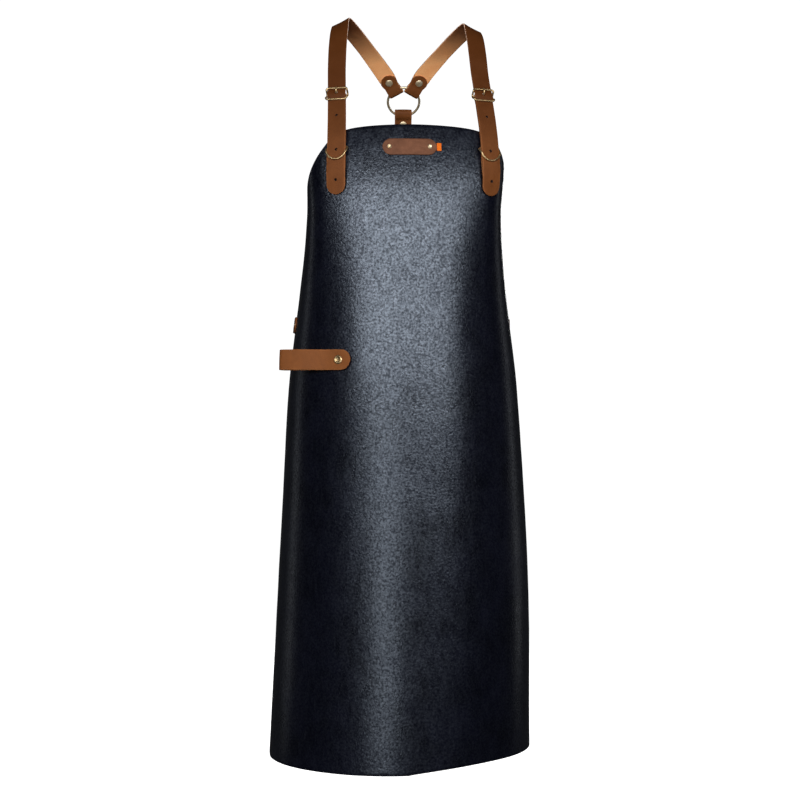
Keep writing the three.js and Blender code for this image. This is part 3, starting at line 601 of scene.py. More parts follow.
class Finish:
    """A procedural material while it is put together"""

    def __init__(self, name):
        self.material = bpy.data.materials.new(name)
        self.material.use_nodes = True
        self.tree = self.material.node_tree
        self.shader = self.tree.nodes["Principled BSDF"]
        self.spaces = self.node("ShaderNodeTexCoord", {})

    def feed(self, node, key, value):
        if isinstance(value, bpy.types.NodeSocket):
            self.tree.links.new(value, node.inputs[key])
        else:
            node.inputs[key].default_value = value

    def put(self, key, value):
        self.feed(self.shader, key, value)

    def surface(self, roughness, specular):
        self.put("Roughness", roughness)
        self.put("Specular IOR Level", specular)

    def node(self, kind, values, **settings):
        node = self.tree.nodes.new(kind)
        for key, value in settings.items():
            setattr(node, key, value)
        for key, value in values.items():
            self.feed(node, key, value)
        return node.outputs

    def along(self, axis, space="Object"):
        return self.node("ShaderNodeSeparateXYZ", {0: self.spaces[space]})[axis]

    def noise(self, name):
        pattern = PATTERNS[name]
        space = self.spaces["Object"]
        if pattern.squash != 1:
            values = {"Vector": space, "Scale": (1, 1, pattern.squash)}
            space = self.node("ShaderNodeMapping", values)["Vector"]
        values = {
            "Vector": space, "Scale": pattern.scale, "Detail": pattern.detail, "Roughness": pattern.rough,
            "Distortion": pattern.distortion}
        return self.node("ShaderNodeTexNoise", values)["Fac"]

    def cells(self, size):
        space = self.spaces["Object"]
        values = {"Vector": space, "Scale": size.scale * CELL_WANDER, "Detail": 2.0}
        wander = self.node("ShaderNodeTexNoise", values)["Color"]
        shift = self.vector_math("SUBTRACT", {0: wander, 1: (0.5, 0.5, 0.5)})
        bent = self.vector_math("SCALE", {0: shift, "Scale": size.warp})
        values = {"Vector": self.vector_math("ADD", {0: space, 1: bent}), "Scale": size.scale}
        if size.feature == "SMOOTH_F1":
            values["Smoothness"] = CELL_SMOOTHNESS
        return self.node("ShaderNodeTexVoronoi", values, feature=size.feature)["Distance"]

    def vector_math(self, operation, values):
        return self.node("ShaderNodeVectorMath", values, operation=operation)["Vector"]

    def math(self, operation, *values):
        return self.node("ShaderNodeMath", dict(enumerate(values)), operation=operation)[0]

    def summed(self, first, *others):
        total = self.math("MULTIPLY", *first)
        for weighted in others:
            total = self.math("ADD", total, self.math("MULTIPLY", *weighted))
        return total

    def ranged(self, value, low, high, to_low=0.0, to_high=1.0):
        values = {"Value": value, "From Min": low, "From Max": high, "To Min": to_low, "To Max": to_high}
        return self.node("ShaderNodeMapRange", values, clamp=True)["Result"]

    def mixed(self, share, first, second):
        values = {MIX_SHARE: share, MIX_FIRST: rgba(first), MIX_SECOND: rgba(second)}
        return self.node("ShaderNodeMix", values, data_type="RGBA")[MIX_COLOUR]

    def relief(self, height, strength, depth):
        values = {"Height": height, "Strength": strength, "Distance": depth * MM}
        self.put("Normal", self.node("ShaderNodeBump", values)["Normal"])


# The hide's shine is broken up by its pores
def hide_finish(make, dark, light, wear, sheen):
    creases = make.noise("hide_creases")
    mottle = make.noise("hide_mottle")
    cloud = make.ranged(make.summed((mottle, 0.7), (creases, 0.3)), 0.36, 0.64)
    worn = make.ranged(make.noise("hide_scuffs"), 0.60, 0.78, 0.0, 0.35)
    make.put("Base Color", make.mixed(worn, make.mixed(cloud, dark, light), wear))
    gloss = make.summed((mottle, 0.3), (creases, 0.7))
    shine = make.ranged(make.noise("hide_pores"), 0.34, 0.66, 0.26, 0.96)
    make.surface(make.ranged(gloss, 0.37, 0.63, 0.26, 0.34), shine)
    make.put("Specular Tint", rgba(sheen))
    grooves = make.ranged(make.cells(HIDE_GROOVES), 0.0, 0.24)
    height = make.summed((grooves, 0.04), (make.noise("hide_speckle"), 0.4), (creases, 0.22))
    make.relief(height, 0.8, 0.6)


# The napped flesh side, with painted shade darkening it towards the top where the strap turns over the
# shoulder
def suede_finish(make, dark, light, worn, nap="strap_nap"):
    make.surface(0.92, 0.2)
    fibres = make.noise(nap)
    patches = make.noise("nap_patches")
    share = make.ranged(make.summed((fibres, 0.6), (patches, 0.4)), 0.38, 0.62)
    # Painted shade: the flesh side turns to its shade colour high up over the shoulder
    shoulder_painted_shade = make.ranged(make.summed((make.along("Z"), 1.0), (patches, 0.02)), *SHOULDER_PAINTED_SHADE)
    make.put("Base Color", make.mixed(shoulder_painted_shade, make.mixed(share, dark, light), worn))
    make.relief(make.summed((fibres, 0.8), (patches, 0.3)), 0.5, 0.35)


# A cut edge, raw and pale over the shoulder
def edge_finish(make, dark, light, raw=None):
    make.surface(0.6, 0.35)
    layers = make.noise("edge_layers")
    share = make.ranged(make.summed((layers, 0.6), (make.noise("edge_stain"), 0.4)), 0.36, 0.64)
    colour = make.mixed(share, dark, light)
    if raw is not None:
        colour = make.mixed(make.ranged(make.along("Z"), *RAW_EDGE), colour, raw)
    make.put("Base Color", colour)
    make.relief(layers, 0.35, 0.25)


# Brown leather with pulled patches, fine pores, rubbed edges and a darker tone high on the front
def brown_finish(make, dark, light, rub, deep=None, roughness=0.58):
    pores = make.noise("brown_pores")
    pull = make.noise("brown_pull")
    cloud = make.ranged(make.summed((pull, 0.75), (pores, 0.25)), 0.34, 0.66)
    side = make.math("ABSOLUTE", make.math("SUBTRACT", make.along("X", "UV"), 0.5))
    edge = make.ranged(make.summed((side, 1.0), (pull, 0.10)), 0.485, 0.55)
    colour = make.mixed(edge, make.mixed(cloud, dark, light), rub)
    if deep is not None:
        high = make.ranged(make.along("Z"), *DARK_TOP_HEIGHT)
        front = make.ranged(make.along("Y"), *DARK_TOP_DEPTH, DARK_TOP_SHARE, 0.0)
        colour = make.mixed(make.math("MULTIPLY", high, front), colour, deep)
    make.put("Base Color", colour)
    gloss = make.summed((pull, 0.6), (pores, 0.4))
    make.surface(make.ranged(gloss, 0.36, 0.64, roughness - 0.07, roughness + 0.09), 0.13)
    grain = make.cells(BROWN_GRAIN)
    make.relief(make.summed((grain, -0.7), (pores, 0.35), (pull, 0.8)), 0.38, 0.4)


def ribbon_finish(make, dark, light):
    make.surface(0.75, 0.3)
    turns = [make.math("MULTIPLY", make.along(axis), RIBBON_THREADS) for axis in "XZ"]
    weave = make.math("MULTIPLY", *(make.math("SINE", turn) for turn in turns))
    share = make.ranged(weave, -1.0, 1.0)
    make.put("Base Color", make.mixed(share, dark, light))
    make.relief(share, 0.5, 0.25)


def brass_finish(make, dark, light, roughness, metallic):
    tarnish = make.noise("brass_tarnish")
    rub = make.noise("brass_rub")
    share = make.ranged(make.summed((tarnish, 0.75), (rub, 0.25)), 0.36, 0.60)
    make.put("Base Color", make.mixed(share, dark, light))
    make.put("Metallic", metallic)
    make.put("Roughness", make.ranged(rub, 0.35, 0.65, roughness - 0.08, roughness + 0.1))
    make.relief(make.summed((tarnish, 0.6), (rub, 0.4)), 0.12, 0.2)


def backdrop_finish(make, tone):
    make.surface(0.9, 0.2)
    make.put("Emission Color", rgba(tone))
    make.put("Emission Strength", 1.0)
    share = make.ranged(make.noise("backdrop"), 0.4, 0.6)
    make.put("Base Color", make.mixed(share, tone, [0.98 * part for part in tone]))


# Each finish by name: what makes it, its colours and what else it is told
Recipe = namedtuple("Recipe", "maker colours options", defaults=({},))
RECIPES = {
    "hide_grain": Recipe(hide_finish, "hide_dark hide_light hide_wear hide_sheen"),
    "hide_flesh": Recipe(suede_finish, "nap_dark nap_light nap_dark", {"nap": "hide_nap"}),
    "hide_edge": Recipe(edge_finish, "hide_dark hide_edge"),
    # Painted shade: the holes' walls take the hide's darkest tones
    "hole_wall": Recipe(edge_finish, "hide_dark hide_edge"),
    "strap_grain": Recipe(brown_finish, "strap_dark strap_light strap_edge strap_deep"),
    "strap_flesh": Recipe(suede_finish, "flesh_dark flesh_light flesh_worn"),
    "strap_edge": Recipe(edge_finish, "strap_light strap_edge strap_raw"),
    "tab_grain": Recipe(brown_finish, "strap_light tab_light strap_edge"),
    "patch_grain": Recipe(brown_finish, "patch_dark patch_light patch_dark", {"roughness": 0.55}),
    "ribbon_weave": Recipe(ribbon_finish, "ribbon_dark ribbon_light"),
    "rivet_brass": Recipe(
        brass_finish, "brass_light brass_bright", {"roughness": 0.42, "metallic": 0.78}),
    "antique_brass": Recipe(
        brass_finish, "brass_dark brass_light", {"roughness": 0.4, "metallic": 0.94}),
    "pale_backdrop": Recipe(backdrop_finish, "floor_tone"),
}


def finish(name):
    made = bpy.data.materials.get(name)
    if made:
        return made
    recipe = RECIPES[name]
    palette = bpy.context.scene.apron_colours
    make = Finish(name)
    recipe.maker(make, *(getattr(palette, colour) for colour in recipe.colours.split()), **recipe.options)
    return make.material


HIDE_FINISH = ("hide_grain", "hide_flesh", "hide_edge")
STRAP_FINISH = ("strap_grain", "strap_flesh", "strap_edge")
TAB_FINISH = ("tab_grain", "strap_flesh", "strap_edge")
PATCH_FINISH = ("patch_grain", "strap_flesh", "patch_grain")
RIBBON_FINISH = ("ribbon_weave",) * 3


def size_property(name, description, default):
    return FloatProperty(name=name, description=description, default=default * MM, unit="LENGTH")


COLOURS = {
    "hide_dark": (0.0012, 0.0013, 0.0037),
    "hide_light": (0.0030, 0.0033, 0.0085),
    "hide_wear": (0.022, 0.024, 0.032),
    "hide_edge": (0.014, 0.010, 0.010),
    "hide_sheen": (0.76, 0.86, 1.0),
    "nap_dark": (0.010, 0.0105, 0.016),
    "nap_light": (0.040, 0.042, 0.054),
    "strap_dark": (0.138, 0.042, 0.0095),
    "strap_deep": (0.072, 0.0185, 0.0022),
    "strap_light": (0.195, 0.063, 0.0165),
    "strap_edge": (0.30, 0.105, 0.032),
    "strap_raw": (1.0, 0.64, 0.46),
    "tab_light": (0.26, 0.088, 0.0245),
    "flesh_dark": (0.90, 0.385, 0.145),
    "flesh_light": (1.0, 0.52, 0.225),
    # Painted shade colour for the flesh side over the shoulder
    "flesh_worn": (0.145, 0.045, 0.013),
    "patch_dark": (0.108, 0.040, 0.0185),
    "patch_light": (0.23, 0.095, 0.050),
    "ribbon_dark": (0.70, 0.10, 0.002),
    "ribbon_light": (1.0, 0.22, 0.006),
    "brass_dark": (0.36, 0.225, 0.095),
    "brass_light": (0.70, 0.51, 0.27),
    "brass_bright": (0.96, 0.83, 0.58),
    "floor_tone": (0.96, 0.96, 0.96),
}


def colour_property(name):
    return FloatVectorProperty(
        name=name.replace("_", " ").capitalize(), description="Colour in linear light",
        default=COLOURS[name], size=3, subtype="COLOR", min=0, max=1)


class ApronSizes(bpy.types.PropertyGroup):
    """Sizes that a user may change"""

    hide_thick: size_property("Hide", "Thickness of the apron's hide", 2.0)
    strap_thick: size_property("Strap", "Thickness of the brown straps", 2.5)
    patch_thick: size_property("Patch", "Thickness of the patch on the bib", 2.0)
    floor_drop: size_property("Floor", "Depth of the floor below the shoulders", 1480)


class ApronColours(bpy.types.PropertyGroup):
    """Colours of the leather, ribbon and brass"""

    __annotations__ = {name: colour_property(name) for name in COLOURS}


def thickness(leather):
    return getattr(bpy.context.scene.apron_sizes, f"{leather}_thick") / MM


# Half the hide's width, and how far its top edge and hem leave the level
def cut_half(z):
    t = clamp(share_of(z, BIB_CORNER, SIDE_CORNER))
    return lerp(BIB_HALF, SKIRT_HALF, t ** ARMHOLE_POWER)


def cut_shift(u, z):
    down = clamp(share_of(z, BIB_CORNER, SIDE_CORNER))
    low = clamp(share_of(z, SIDE_CORNER, HEM))
    crown = CROWN * (1 - u ** 2) + CORNER_DROP * (1 - u ** CORNER_POWER)
    swell = HEM_SWELL * sin(pi * max(u, 0) ** HEM_POWER)
    return crown * (1 - down) ** 2 + (HEM_LIFT * u + swell) * low ** 2


class APRON_OT_hide(bpy.types.Operator):
    """Lay the one-piece bib and skirt round the body"""

    bl_idname = "apron.hide"
    bl_label = "Hide"

    def execute(self, context):
        def lay(u, v):
            level = lerp(HEM, BIB_CORNER, v)
            across = 2 * u - 1
            return panel_point(across * cut_half(level), level + cut_shift(across, level))

        obj = laid_grid("hide_panel", HIDE_COLUMNS, HIDE_ROWS, lay)
        give_thickness(obj, thickness("hide"), CUT_EDGE, HIDE_FINISH)
        hand_over(obj, "apron_panel")
        return {"FINISHED"}


def ring_arm(turn):
    return Vector((cos(turn), 0, 0)) + RING_LEAN * sin(turn)


# Where a strap folds round the back ring, with its free end in front
def fold_controls(size, side):
    def in_ring(degrees):
        return ring_arm(radians(degrees)) * Vector((side, 1, 1))

    start = RING_MIDDLE + in_ring(size.angle) * RING.radius
    tangent = in_ring(size.heading - 90)
    away = Matrix.Rotation(radians(size.tilt), 3, tangent) @ in_ring(size.heading)
    front = tangent.cross(away).normalized()
    if front.y > 0:
        front = -front
    across = away.cross(front)
    askew = radians(size.heading - size.angle)
    chord = sqrt(RING.radius ** 2 - (size.half + RING.radius * sin(askew)) ** 2)
    sag = RING.radius * cos(askew) - chord
    depth = sag + RING.wire.radius * (RING.radius / chord - 1) + GAP
    bend = RING.wire.radius + GAP + depth * sin(radians(size.tilt))
    seat = GAP / 2
    flat = size.rivet - RIVETS["strap"].head - FOLD_MARGIN
    front_stops = (size.free, size.free - FOLD_FREE, 2 * flat, flat + FOLD_MARGIN, flat)
    back_stops = (flat, flat + FOLD_MARGIN, size.join - FOLD_JOIN, size.join)
    ramp = [(flat * far, lerp(seat, bend, rise)) for far, rise in FOLD_RAMP]
    steps = [(far, seat) for far in front_stops] + ramp
    for k in range(FOLD_STEPS + 1):
        swing = pi * (0.5 + k / FOLD_STEPS)
        steps.append((bend * cos(swing) - depth, bend * sin(swing)))
    steps += [(far, -lift) for far, lift in reversed(ramp)]
    steps += [(far, -seat) for far in back_stops]
    controls = []
    for far, lift in steps:
        half = lerp(size.half, size.wide, clamp(far / flat - 1))
        controls.append(Station(start + away * far + front * lift, across, half))
    top = start + away * size.rivet + front * (seat + thickness("strap"))
    return controls, Place(top, across, across.cross(front), front)


def levels_of(table, step, last):
    levels = [table[0].z]
    for above, below in zip(table, table[1:]):
        count = ceil((above.z - below.z) / step)
        levels += [lerp(above.z, below.z, k / count) for k in range(1, count + 1)]
    return [z for z in levels if z > last]


def shoulder_controls(side):
    controls, _ = fold_controls(STRAP_FOLD, side)
    for row in SHOULDER:
        point = Vector((side * row.x, row.y, row.z - side * SHOULDER_DROP * row.share))
        across = Vector((row.across[0], side * row.across[1], side * row.across[2]))
        controls.append(Station(point, across.normalized(), STRAP_HALF))
    for z in [*levels_of(STRAP_LIFT, STRAP_STEP, STRAP_TIP.z + TIP_CLEAR), STRAP_TIP.z]:
        place = strap_place(side, z, row_at(STRAP_LIFT, z).lift)
        t = clamp(share_of(z, STRAP_TOP.z, STRAP_TIP.z))
        controls.append(Station(place.point, place.across, lerp(STRAP_HALF, STRAP_TIP_HALF, t)))
    return controls


class APRON_OT_shoulder_straps(bpy.types.Operator):
    """Run the two shoulder straps from the ring over the shoulders to the buckles"""

    bl_idname = "apron.shoulder_straps"
    bl_label = "Shoulder straps"

    def execute(self, context):
        thick = thickness("strap")
        for name, side in SIDES.items():
            obj = strip(f"strap_{name}", shoulder_controls(side), thick, STRAP_FINISH)
            for z in STRAP_HOLES:
                middle = strap_place(side, z, row_at(STRAP_LIFT, z).lift + thick / 2)
                punch(obj, middle, STRAP_HOLE, thick + HOLE_OVERSHOOT, narrow=HOLE_TAPER)
            cut_slot(obj, side, STRAP_SLOT)
            hand_over(obj, f"shoulder_strap_{name}")
        return {"FINISHED"}


class APRON_OT_buckle_tabs(bpy.types.Operator):
    """Fold the two short tabs round the buckles' bars"""

    bl_idname = "apron.buckle_tabs"
    bl_label = "Buckle tabs"

    def execute(self, context):
        levels = levels_of(TAB_LIFT, TAB_STEP, TAB_LIFT[-1].z - 1)
        for name, side in SIDES.items():
            rows = [(z, row_at(TAB_LIFT, z).lift) for z in reversed(levels)]
            for swing in HALF_TURN:
                z = BUCKLE.z + TAB.wrap * cos(swing)
                rows.append((z, BUCKLE.bar_lift + TAB.wrap * sin(swing)))
            rows += [(z, row_at(TAB_LIFT, z).lift + GAP) for z in levels]
            places = [strap_place(side, z, lift) for z, lift in rows]
            controls = [Station(place.point, place.across, TAB.half) for place in places]
            obj = strip(f"tab_{name}", controls, TAB.thick, TAB_FINISH, (False, False), edge=TAB_EDGE)
            cut_slot(obj, side, TAB_SLOT)
            hand_over(obj, f"buckle_tab_{name}")
        return {"FINISHED"}


class APRON_OT_back_straps(bpy.types.Operator):
    """Hang the back strap from the ring and run the waist strap between the wings"""

    bl_idname = "apron.back_straps"
    bl_label = "Back and waist straps"

    def execute(self, context):
        thick = thickness("strap")
        controls, _ = fold_controls(BACK_FOLD, 1)
        end_y, end_z = BACK_RUN[-1]
        for y, z in (*BACK_RUN, (end_y, end_z - BACK_FOLD.half)):
            controls.append(Station(Vector((0, y, z)), Vector((-1, 0, 0)), BACK_FOLD.half))
        hand_over(strip("strap_back", controls, thick, STRAP_FINISH), "back_strap")

        def wing(side):
            rows = []
            rivet = WAIST.front + WAIST.half
            for s in (WAIST.front, rivet, (rivet + WAIST.edge) / 2, WAIST.edge):
                place = panel_place(side * s, WAIST.z, GAP)
                rows.append(Station(place.point, place.down, WAIST.half))
            for x, y in WAIST_RUN:
                rows.append(Station(Vector((side * x, y, WAIST.z)), Vector((0, 0, -1)), WAIST.half))
            return rows

        middle = Station(Vector((0, WAIST.back, WAIST.z)), Vector((0, 0, -1)), WAIST.half)
        controls = [*wing(-1), middle, *reversed(wing(1))]
        hand_over(strip("strap_waist", controls, thick, STRAP_FINISH), "waist_strap")
        return {"FINISHED"}


# A quarter of the buckle's rounded oblong, from the middle of its side to the middle of its end
def oblong_quarter(share):
    corner = BUCKLE.corner
    rise, arc, run = BUCKLE.half_height - corner, corner * pi / 2, BUCKLE.half_width - corner
    along = share * (rise + arc + run)
    if along < rise:
        return BUCKLE.half_width, along
    if along < rise + arc:
        swing = (along - rise) / corner
        return run + corner * cos(swing), rise + corner * sin(swing)
    return run - (along - rise - arc), BUCKLE.half_height


def buckle_path(place):
    flat = BUCKLE.half_height - BUCKLE.corner

    def path(turn):
        quarter, share = divmod((turn / (pi / 2)) % 4, 1)
        across, down = oblong_quarter(1 - share if quarter in (1, 3) else share)
        across *= 1 if quarter in (0, 3) else -1
        down *= 1 if quarter in (0, 1) else -1
        lift = lerp(BUCKLE.bar_lift, BUCKLE.rim_lift, min(1, (down / flat) ** 2))
        return in_place(place, across, down, lift)

    return path


class APRON_OT_buckles(bpy.types.Operator):
    """Bend the buckles' rims, bars and tongues"""

    bl_idname = "apron.buckles"
    bl_label = "Buckles"

    def execute(self, context):
        for name, side in SIDES.items():
            place = strap_place(side, BUCKLE.z)
            rim = wire_loop(f"buckle_rim_{name}", buckle_path(place), place.normal, BUCKLE.wire)
            ends = [-BUCKLE.half_width, BUCKLE.half_width]
            points = [in_place(place, across, 0, BUCKLE.bar_lift) for across in ends]
            bar = wire_run("bar", points, [BUCKLE.bar] * 2, place.normal, BAR_RINGS)
            hand_over(joined(rim, bar), f"buckle_frame_{name}", ["antique_brass"])

            points = [in_place(place, 0, row.down, row.lift) for row in TONGUE]
            radii = [row.radius for row in TONGUE]
            pin = wire_run(f"buckle_pin_{name}", points, radii, place.across, TONGUE_RINGS)

            def collar_path(turn):
                lift = BUCKLE.bar_lift + COLLAR.radius * sin(turn)
                return in_place(place, 0, COLLAR.radius * cos(turn), lift)

            collar = wire_loop("collar", collar_path, place.across, COLLAR.wire)
            hand_over(joined(pin, collar), f"buckle_tongue_{name}", ["antique_brass"])
        return {"FINISHED"}


class APRON_OT_rings(bpy.types.Operator):
    """Bend the back ring and the two keeper rings from wire"""

    bl_idname = "apron.rings"
    bl_label = "Rings"

    def execute(self, context):
        def ring_path(turn):
            return RING_MIDDLE + ring_arm(turn) * RING.radius

        axis = Vector((1, 0, 0)).cross(RING_LEAN)
        obj = wire_loop("ring_back", ring_path, axis, RING.wire)
        hand_over(obj, "back_ring", ["rivet_brass"])

        for name, side in SIDES.items():
            place = strap_place(side, KEEPER.z)
            half = (KEEPER.front_lift - KEEPER.back_lift) / 2

            def keeper_path(turn):
                low = clamp(sin(turn) / KEEPER.step, -1, 1)
                low *= 1.5 - 0.5 * low * low
                across = KEEPER.half_width * cos(turn)
                down = (KEEPER.drop if sin(turn) > 0 else KEEPER.rise) * sin(turn)
                return in_place(place, across, down, KEEPER.back_lift + half * (1 + low))

            obj = wire_loop(f"keeper_{name}", keeper_path, place.normal, KEEPER.wire)
            hand_over(obj, f"keeper_ring_{name}", ["antique_brass"])
        return {"FINISHED"}


class APRON_OT_patch(bpy.types.Operator):
    """Set the bare patch on the bib with its ribbon tab"""

    bl_idname = "apron.patch"
    bl_label = "Patch and ribbon"

    def execute(self, context):
        def level_run(ends, z, half):
            stations = []
            for s in ends:
                place = panel_place(LABEL.s + s, z, GAP)
                stations.append(Station(place.point, -place.down, half))
            return stations

        ends = [LABEL.half * k / PATCH_SPANS for k in range(-PATCH_SPANS, PATCH_SPANS + 1)]
        controls = level_run(ends, LABEL.z, LABEL.round)
        obj = strip("patch", controls, thickness("patch"), PATCH_FINISH, columns=12)
        hand_over(obj, "label_patch")

        ends = [RIBBON.near, (RIBBON.near + RIBBON.far) / 2, RIBBON.far]
        controls = level_run(ends, LABEL.z + RIBBON.drop, RIBBON.half)
        obj = strip("ribbon", controls, RIBBON.thick, RIBBON_FINISH, (False, False), edge=RIBBON_EDGE)
        hand_over(obj, "ribbon_tab")
        return {"FINISHED"}


class APRON_OT_towel_loop(bpy.types.Operator):
    """Double the towel loop back on itself"""

    bl_idname = "apron.towel_loop"
    bl_label = "Towel loop"

    def execute(self, context):
        place = panel_place(TOWEL.s, TOWEL.z)
        inner = GAP + TOWEL.thick
        outer = inner + GAP
        bend_start = TOWEL.reach - TOWEL.turn
        rows = [(-TOWEL.front + TOWEL_INSET, inner), (-TOWEL.front / 2, inner)]
        rows += [(bend_start * k / TOWEL_SPANS, inner) for k in range(TOWEL_SPANS + 1)]
        for swing in HALF_TURN[1:-1]:
            along = bend_start + TOWEL.turn * cos(swing)
            rows.append((along, inner + TOWEL.turn * (1 + sin(swing))))
        for k in range(TOWEL_SPANS, -1, -1):
            t = k / TOWEL_SPANS
            swell = (TOWEL.bulge - 2 * TOWEL.turn) * sin(pi * t) ** 2
            lift = outer + (2 * TOWEL.turn - GAP) * eased(t) + swell
            rows.append((lerp(TOWEL.flat, bend_start, t), lift))
        rows += [(-TOWEL.front / 2, outer), (-TOWEL.front, outer)]
        points = [in_place(place, -along, 0, lift) for along, lift in rows]
        controls = [Station(point, -place.down, TOWEL.half) for point in points]
        obj = strip("loop_towel", controls, TOWEL.thick, TAB_FINISH, columns=10)
        hand_over(obj, "towel_loop")
        return {"FINISHED"}


def rivet_profile(size, grip):
    washer = WASHER_SHARE * size.head
    under = -grip - WASHER_GAP
    rows = [(washer * share, under + rise) for share, rise in WASHER]
    rows += [(size.post, under), (size.post, GAP)]
    cap = DISHED if size.dish else DOMED
    return rows + [(size.head * share, GAP + size.dome * rise) for share, rise in cap]


# A rivet modelled once and copied to each place, every copy with its own mesh
def set_rivets(kind, grip, places):
    model = turned(f"rivet_{kind}", rivet_profile(RIVETS[kind], grip))
    for node, place in places.items():
        obj = model.copy()
        obj.data = model.data.copy()
        obj.name = node.replace("rivet", "stud")
        bpy.context.collection.objects.link(obj)
        obj.matrix_world = placed(place)
        hand_over(obj, node, [RIVETS[kind].brass])
    bpy.data.objects.remove(model, do_unlink=True)


class APRON_OT_rivets(bpy.types.Operator):
    """Set the brass rivets"""

    bl_idname = "apron.rivets"
    bl_label = "Rivets"

    def execute(self, context):
        def pair(node, place_on):
            return {f"{node}_{name}": place_on(side) for name, side in SIDES.items()}

        strap, hide, patch = (thickness(leather) for leather in ("strap", "hide", "patch"))
        fold_grip = 2 * strap + GAP
        folds = pair("strap_end_rivet", lambda side: fold_controls(STRAP_FOLD, side)[1])
        folds["back_strap_rivet"] = fold_controls(BACK_FOLD, 1)[1]
        back = Vector((0, WAIST.back + fold_grip, WAIST.z))
        folds["back_waist_rivet"] = Place(back, Vector((-1, 0, 0)), Vector((0, 0, -1)), Vector((0, 1, 0)))
        set_rivets("strap", fold_grip, folds)

        top = row_at(TAB_LIFT, TAB.rivet_z).lift + GAP + TAB.thick
        set_rivets("plain", top + hide, pair(
            "buckle_tab_rivet", lambda side: strap_place(side, TAB.rivet_z, top)))
        set_rivets("plain", GAP + strap + hide, pair(
            "waist_rivet",
            lambda side: panel_place(side * (WAIST.front + WAIST.half), WAIST.z, GAP + strap)))
        set_rivets("label", GAP + patch + hide, pair(
            "label_rivet",
            lambda side: panel_place(LABEL.s + side * LABEL.rivet, LABEL.z, GAP + patch)))
        loop_top = 2 * (GAP + TOWEL.thick)
        set_rivets("towel", loop_top + hide, {"towel_loop_rivet": panel_place(TOWEL.s, TOWEL.z, loop_top)})
        return {"FINISHED"}


# The camera stands level before the bib, a little to the wearer's right
CAMERA_TURN = radians(2)
CAMERA_DISTANCE = 2.4
CAMERA_HEIGHT = -0.593
CAMERA_SIDE = -0.00995
CAMERA_LENS = 68.36
SENSOR_WIDTH = 36

Softbox = namedtuple("Softbox", "name place aim width height watts colour")
SOFTBOXES = rows_of(
    Softbox,
    ("key", (0.04, -2.6, 0.27), (0, -0.1, -0.35), 4.3, 0.68, 85, (0.97, 0.98, 1.0)),
    ("low_fill", (-0.7, -2.6, -0.8), (0, -0.1, -0.7), 0.9, 1.2, 9.5, (0.96, 0.98, 1.0)),
    ("left_rim", (-2.2, 0.9, -0.5), (0, 0, -0.6), 0.3, 1.8, 1.0, (1.0, 1.0, 1.0)),
    ("right_rim", (2.2, 0.9, -0.5), (0, 0, -0.6), 0.3, 1.8, 1.0, (1.0, 1.0, 1.0)),
    ("back", (0.5, 2.8, 0.5), (0, 0.1, -0.4), 1.4, 1.4, 45, (1.0, 0.99, 0.97)),
)
ROOM_RADIUS, ROOM_HEIGHT, ROOM_BEND, ROOM_SIDES = 7.0, 9.0, 1.5, 96
ROOM_ANGLE = radians(60)
SKY_TINT, SKY_STRENGTH = (0.9, 0.95, 1.0, 1.0), 0.025


# A lamp or camera set at a place, looking along a direction
def stand(name, data, place, looking):
    obj = bpy.data.objects.new(name, data)
    obj.location = place
    obj.rotation_euler = looking.to_track_quat("-Z", "Y").to_euler()
    bpy.context.scene.collection.objects.link(obj)
    return obj


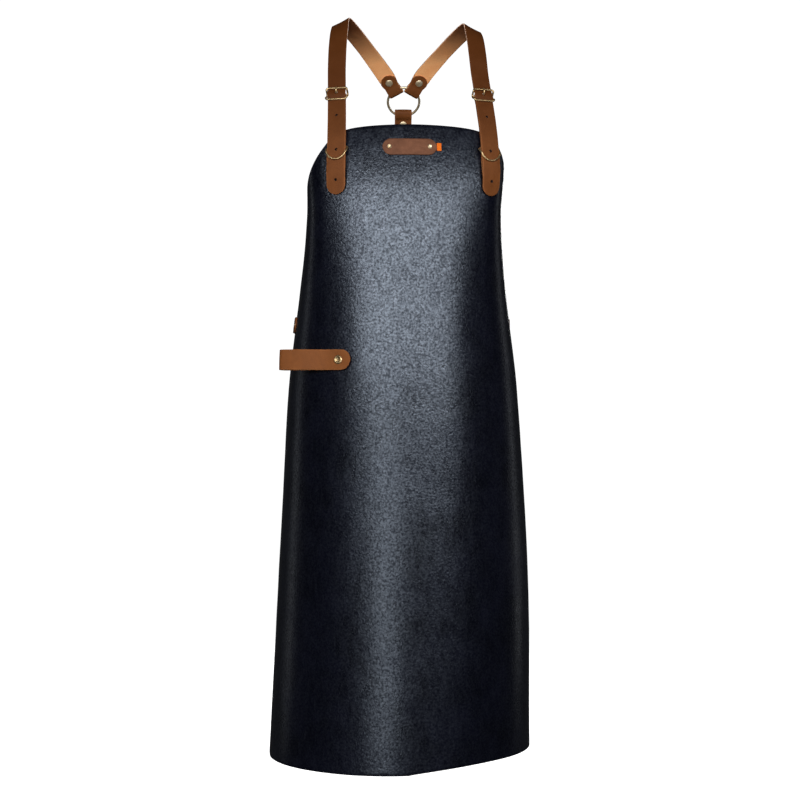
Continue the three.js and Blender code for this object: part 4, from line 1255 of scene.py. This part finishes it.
class APRON_OT_stage(bpy.types.Operator):
    """Set the pale floor and backdrop, the softboxes and the camera"""

    bl_idname = "apron.stage"
    bl_label = "Stage"

    def execute(self, context):
        scene = context.scene
        room = disc("pale_room", ROOM_SIDES, ROOM_RADIUS, -scene.apron_sizes.floor_drop)
        bpy.ops.mesh.region_to_loop()
        bpy.ops.mesh.extrude_region_move(TRANSFORM_OT_translate={"value": (0, 0, ROOM_HEIGHT)})
        bpy.ops.object.mode_set(mode="OBJECT")
        modify(room, "BEVEL", width=ROOM_BEND, segments=10, limit_method="ANGLE", angle_limit=ROOM_ANGLE)
        dress(room, ["pale_backdrop"])
        pick(room)
        bpy.ops.object.shade_smooth()
        room.visible_glossy = False
        room.visible_diffuse = False

        for softbox in SOFTBOXES:
            light = bpy.data.lights.new(softbox.name, "AREA")
            light.shape = "RECTANGLE"
            light.size, light.size_y = softbox.width, softbox.height
            light.energy = softbox.watts
            light.color = softbox.colour
            stand(softbox.name, light, Vector(softbox.place), Vector(softbox.aim) - Vector(softbox.place))

        world = bpy.data.worlds.new("studio")
        world.use_nodes = True
        sky = world.node_tree.nodes["Background"]
        sky.inputs["Color"].default_value = SKY_TINT
        sky.inputs["Strength"].default_value = SKY_STRENGTH
        scene.world = world
        scene.view_settings.view_transform = "Standard"

        forward = Vector((sin(CAMERA_TURN), cos(CAMERA_TURN), 0))
        right = Vector((cos(CAMERA_TURN), -sin(CAMERA_TURN), 0))
        lens = bpy.data.cameras.new("camera")
        lens.lens = CAMERA_LENS
        lens.sensor_width = SENSOR_WIDTH
        place = right * CAMERA_SIDE - forward * CAMERA_DISTANCE + Vector((0, 0, CAMERA_HEIGHT))
        scene.camera = stand("camera", lens, place, forward)
        return {"FINISHED"}


OPERATORS = (
    APRON_OT_stage,
    APRON_OT_hide,
    APRON_OT_shoulder_straps,
    APRON_OT_buckle_tabs,
    APRON_OT_back_straps,
    APRON_OT_buckles,
    APRON_OT_rings,
    APRON_OT_patch,
    APRON_OT_towel_loop,
    APRON_OT_rivets,
)


class APRON_PT_sidebar(bpy.types.Panel):
    """Lists the apron's sizes, colours and pieces"""

    bl_idname = "APRON_PT_sidebar"
    bl_label = "Leather apron"
    bl_space_type = "VIEW_3D"
    bl_region_type = "UI"
    bl_category = "Apron"

    def draw(self, context):
        for group in (context.scene.apron_sizes, context.scene.apron_colours):
            for name in group.__annotations__:
                self.layout.prop(group, name)
        for operator in OPERATORS:
            self.layout.operator(operator.bl_idname)


CLASSES = (ApronSizes, ApronColours, *OPERATORS, APRON_PT_sidebar)


def register():
    for cls in CLASSES:
        bpy.utils.register_class(cls)
    bpy.types.Scene.apron_sizes = PointerProperty(type=ApronSizes)
    bpy.types.Scene.apron_colours = PointerProperty(type=ApronColours)


def unregister():
    del bpy.types.Scene.apron_colours
    del bpy.types.Scene.apron_sizes
    for cls in reversed(CLASSES):
        bpy.utils.unregister_class(cls)


def main():
    register()
    bpy.ops.apron.stage()
    bpy.ops.apron.hide()
    bpy.ops.apron.shoulder_straps()
    bpy.ops.apron.buckle_tabs()
    bpy.ops.apron.back_straps()
    bpy.ops.apron.buckles()
    bpy.ops.apron.rings()
    bpy.ops.apron.patch()
    bpy.ops.apron.towel_loop()
    bpy.ops.apron.rivets()


if __name__ == "__main__":
    main()
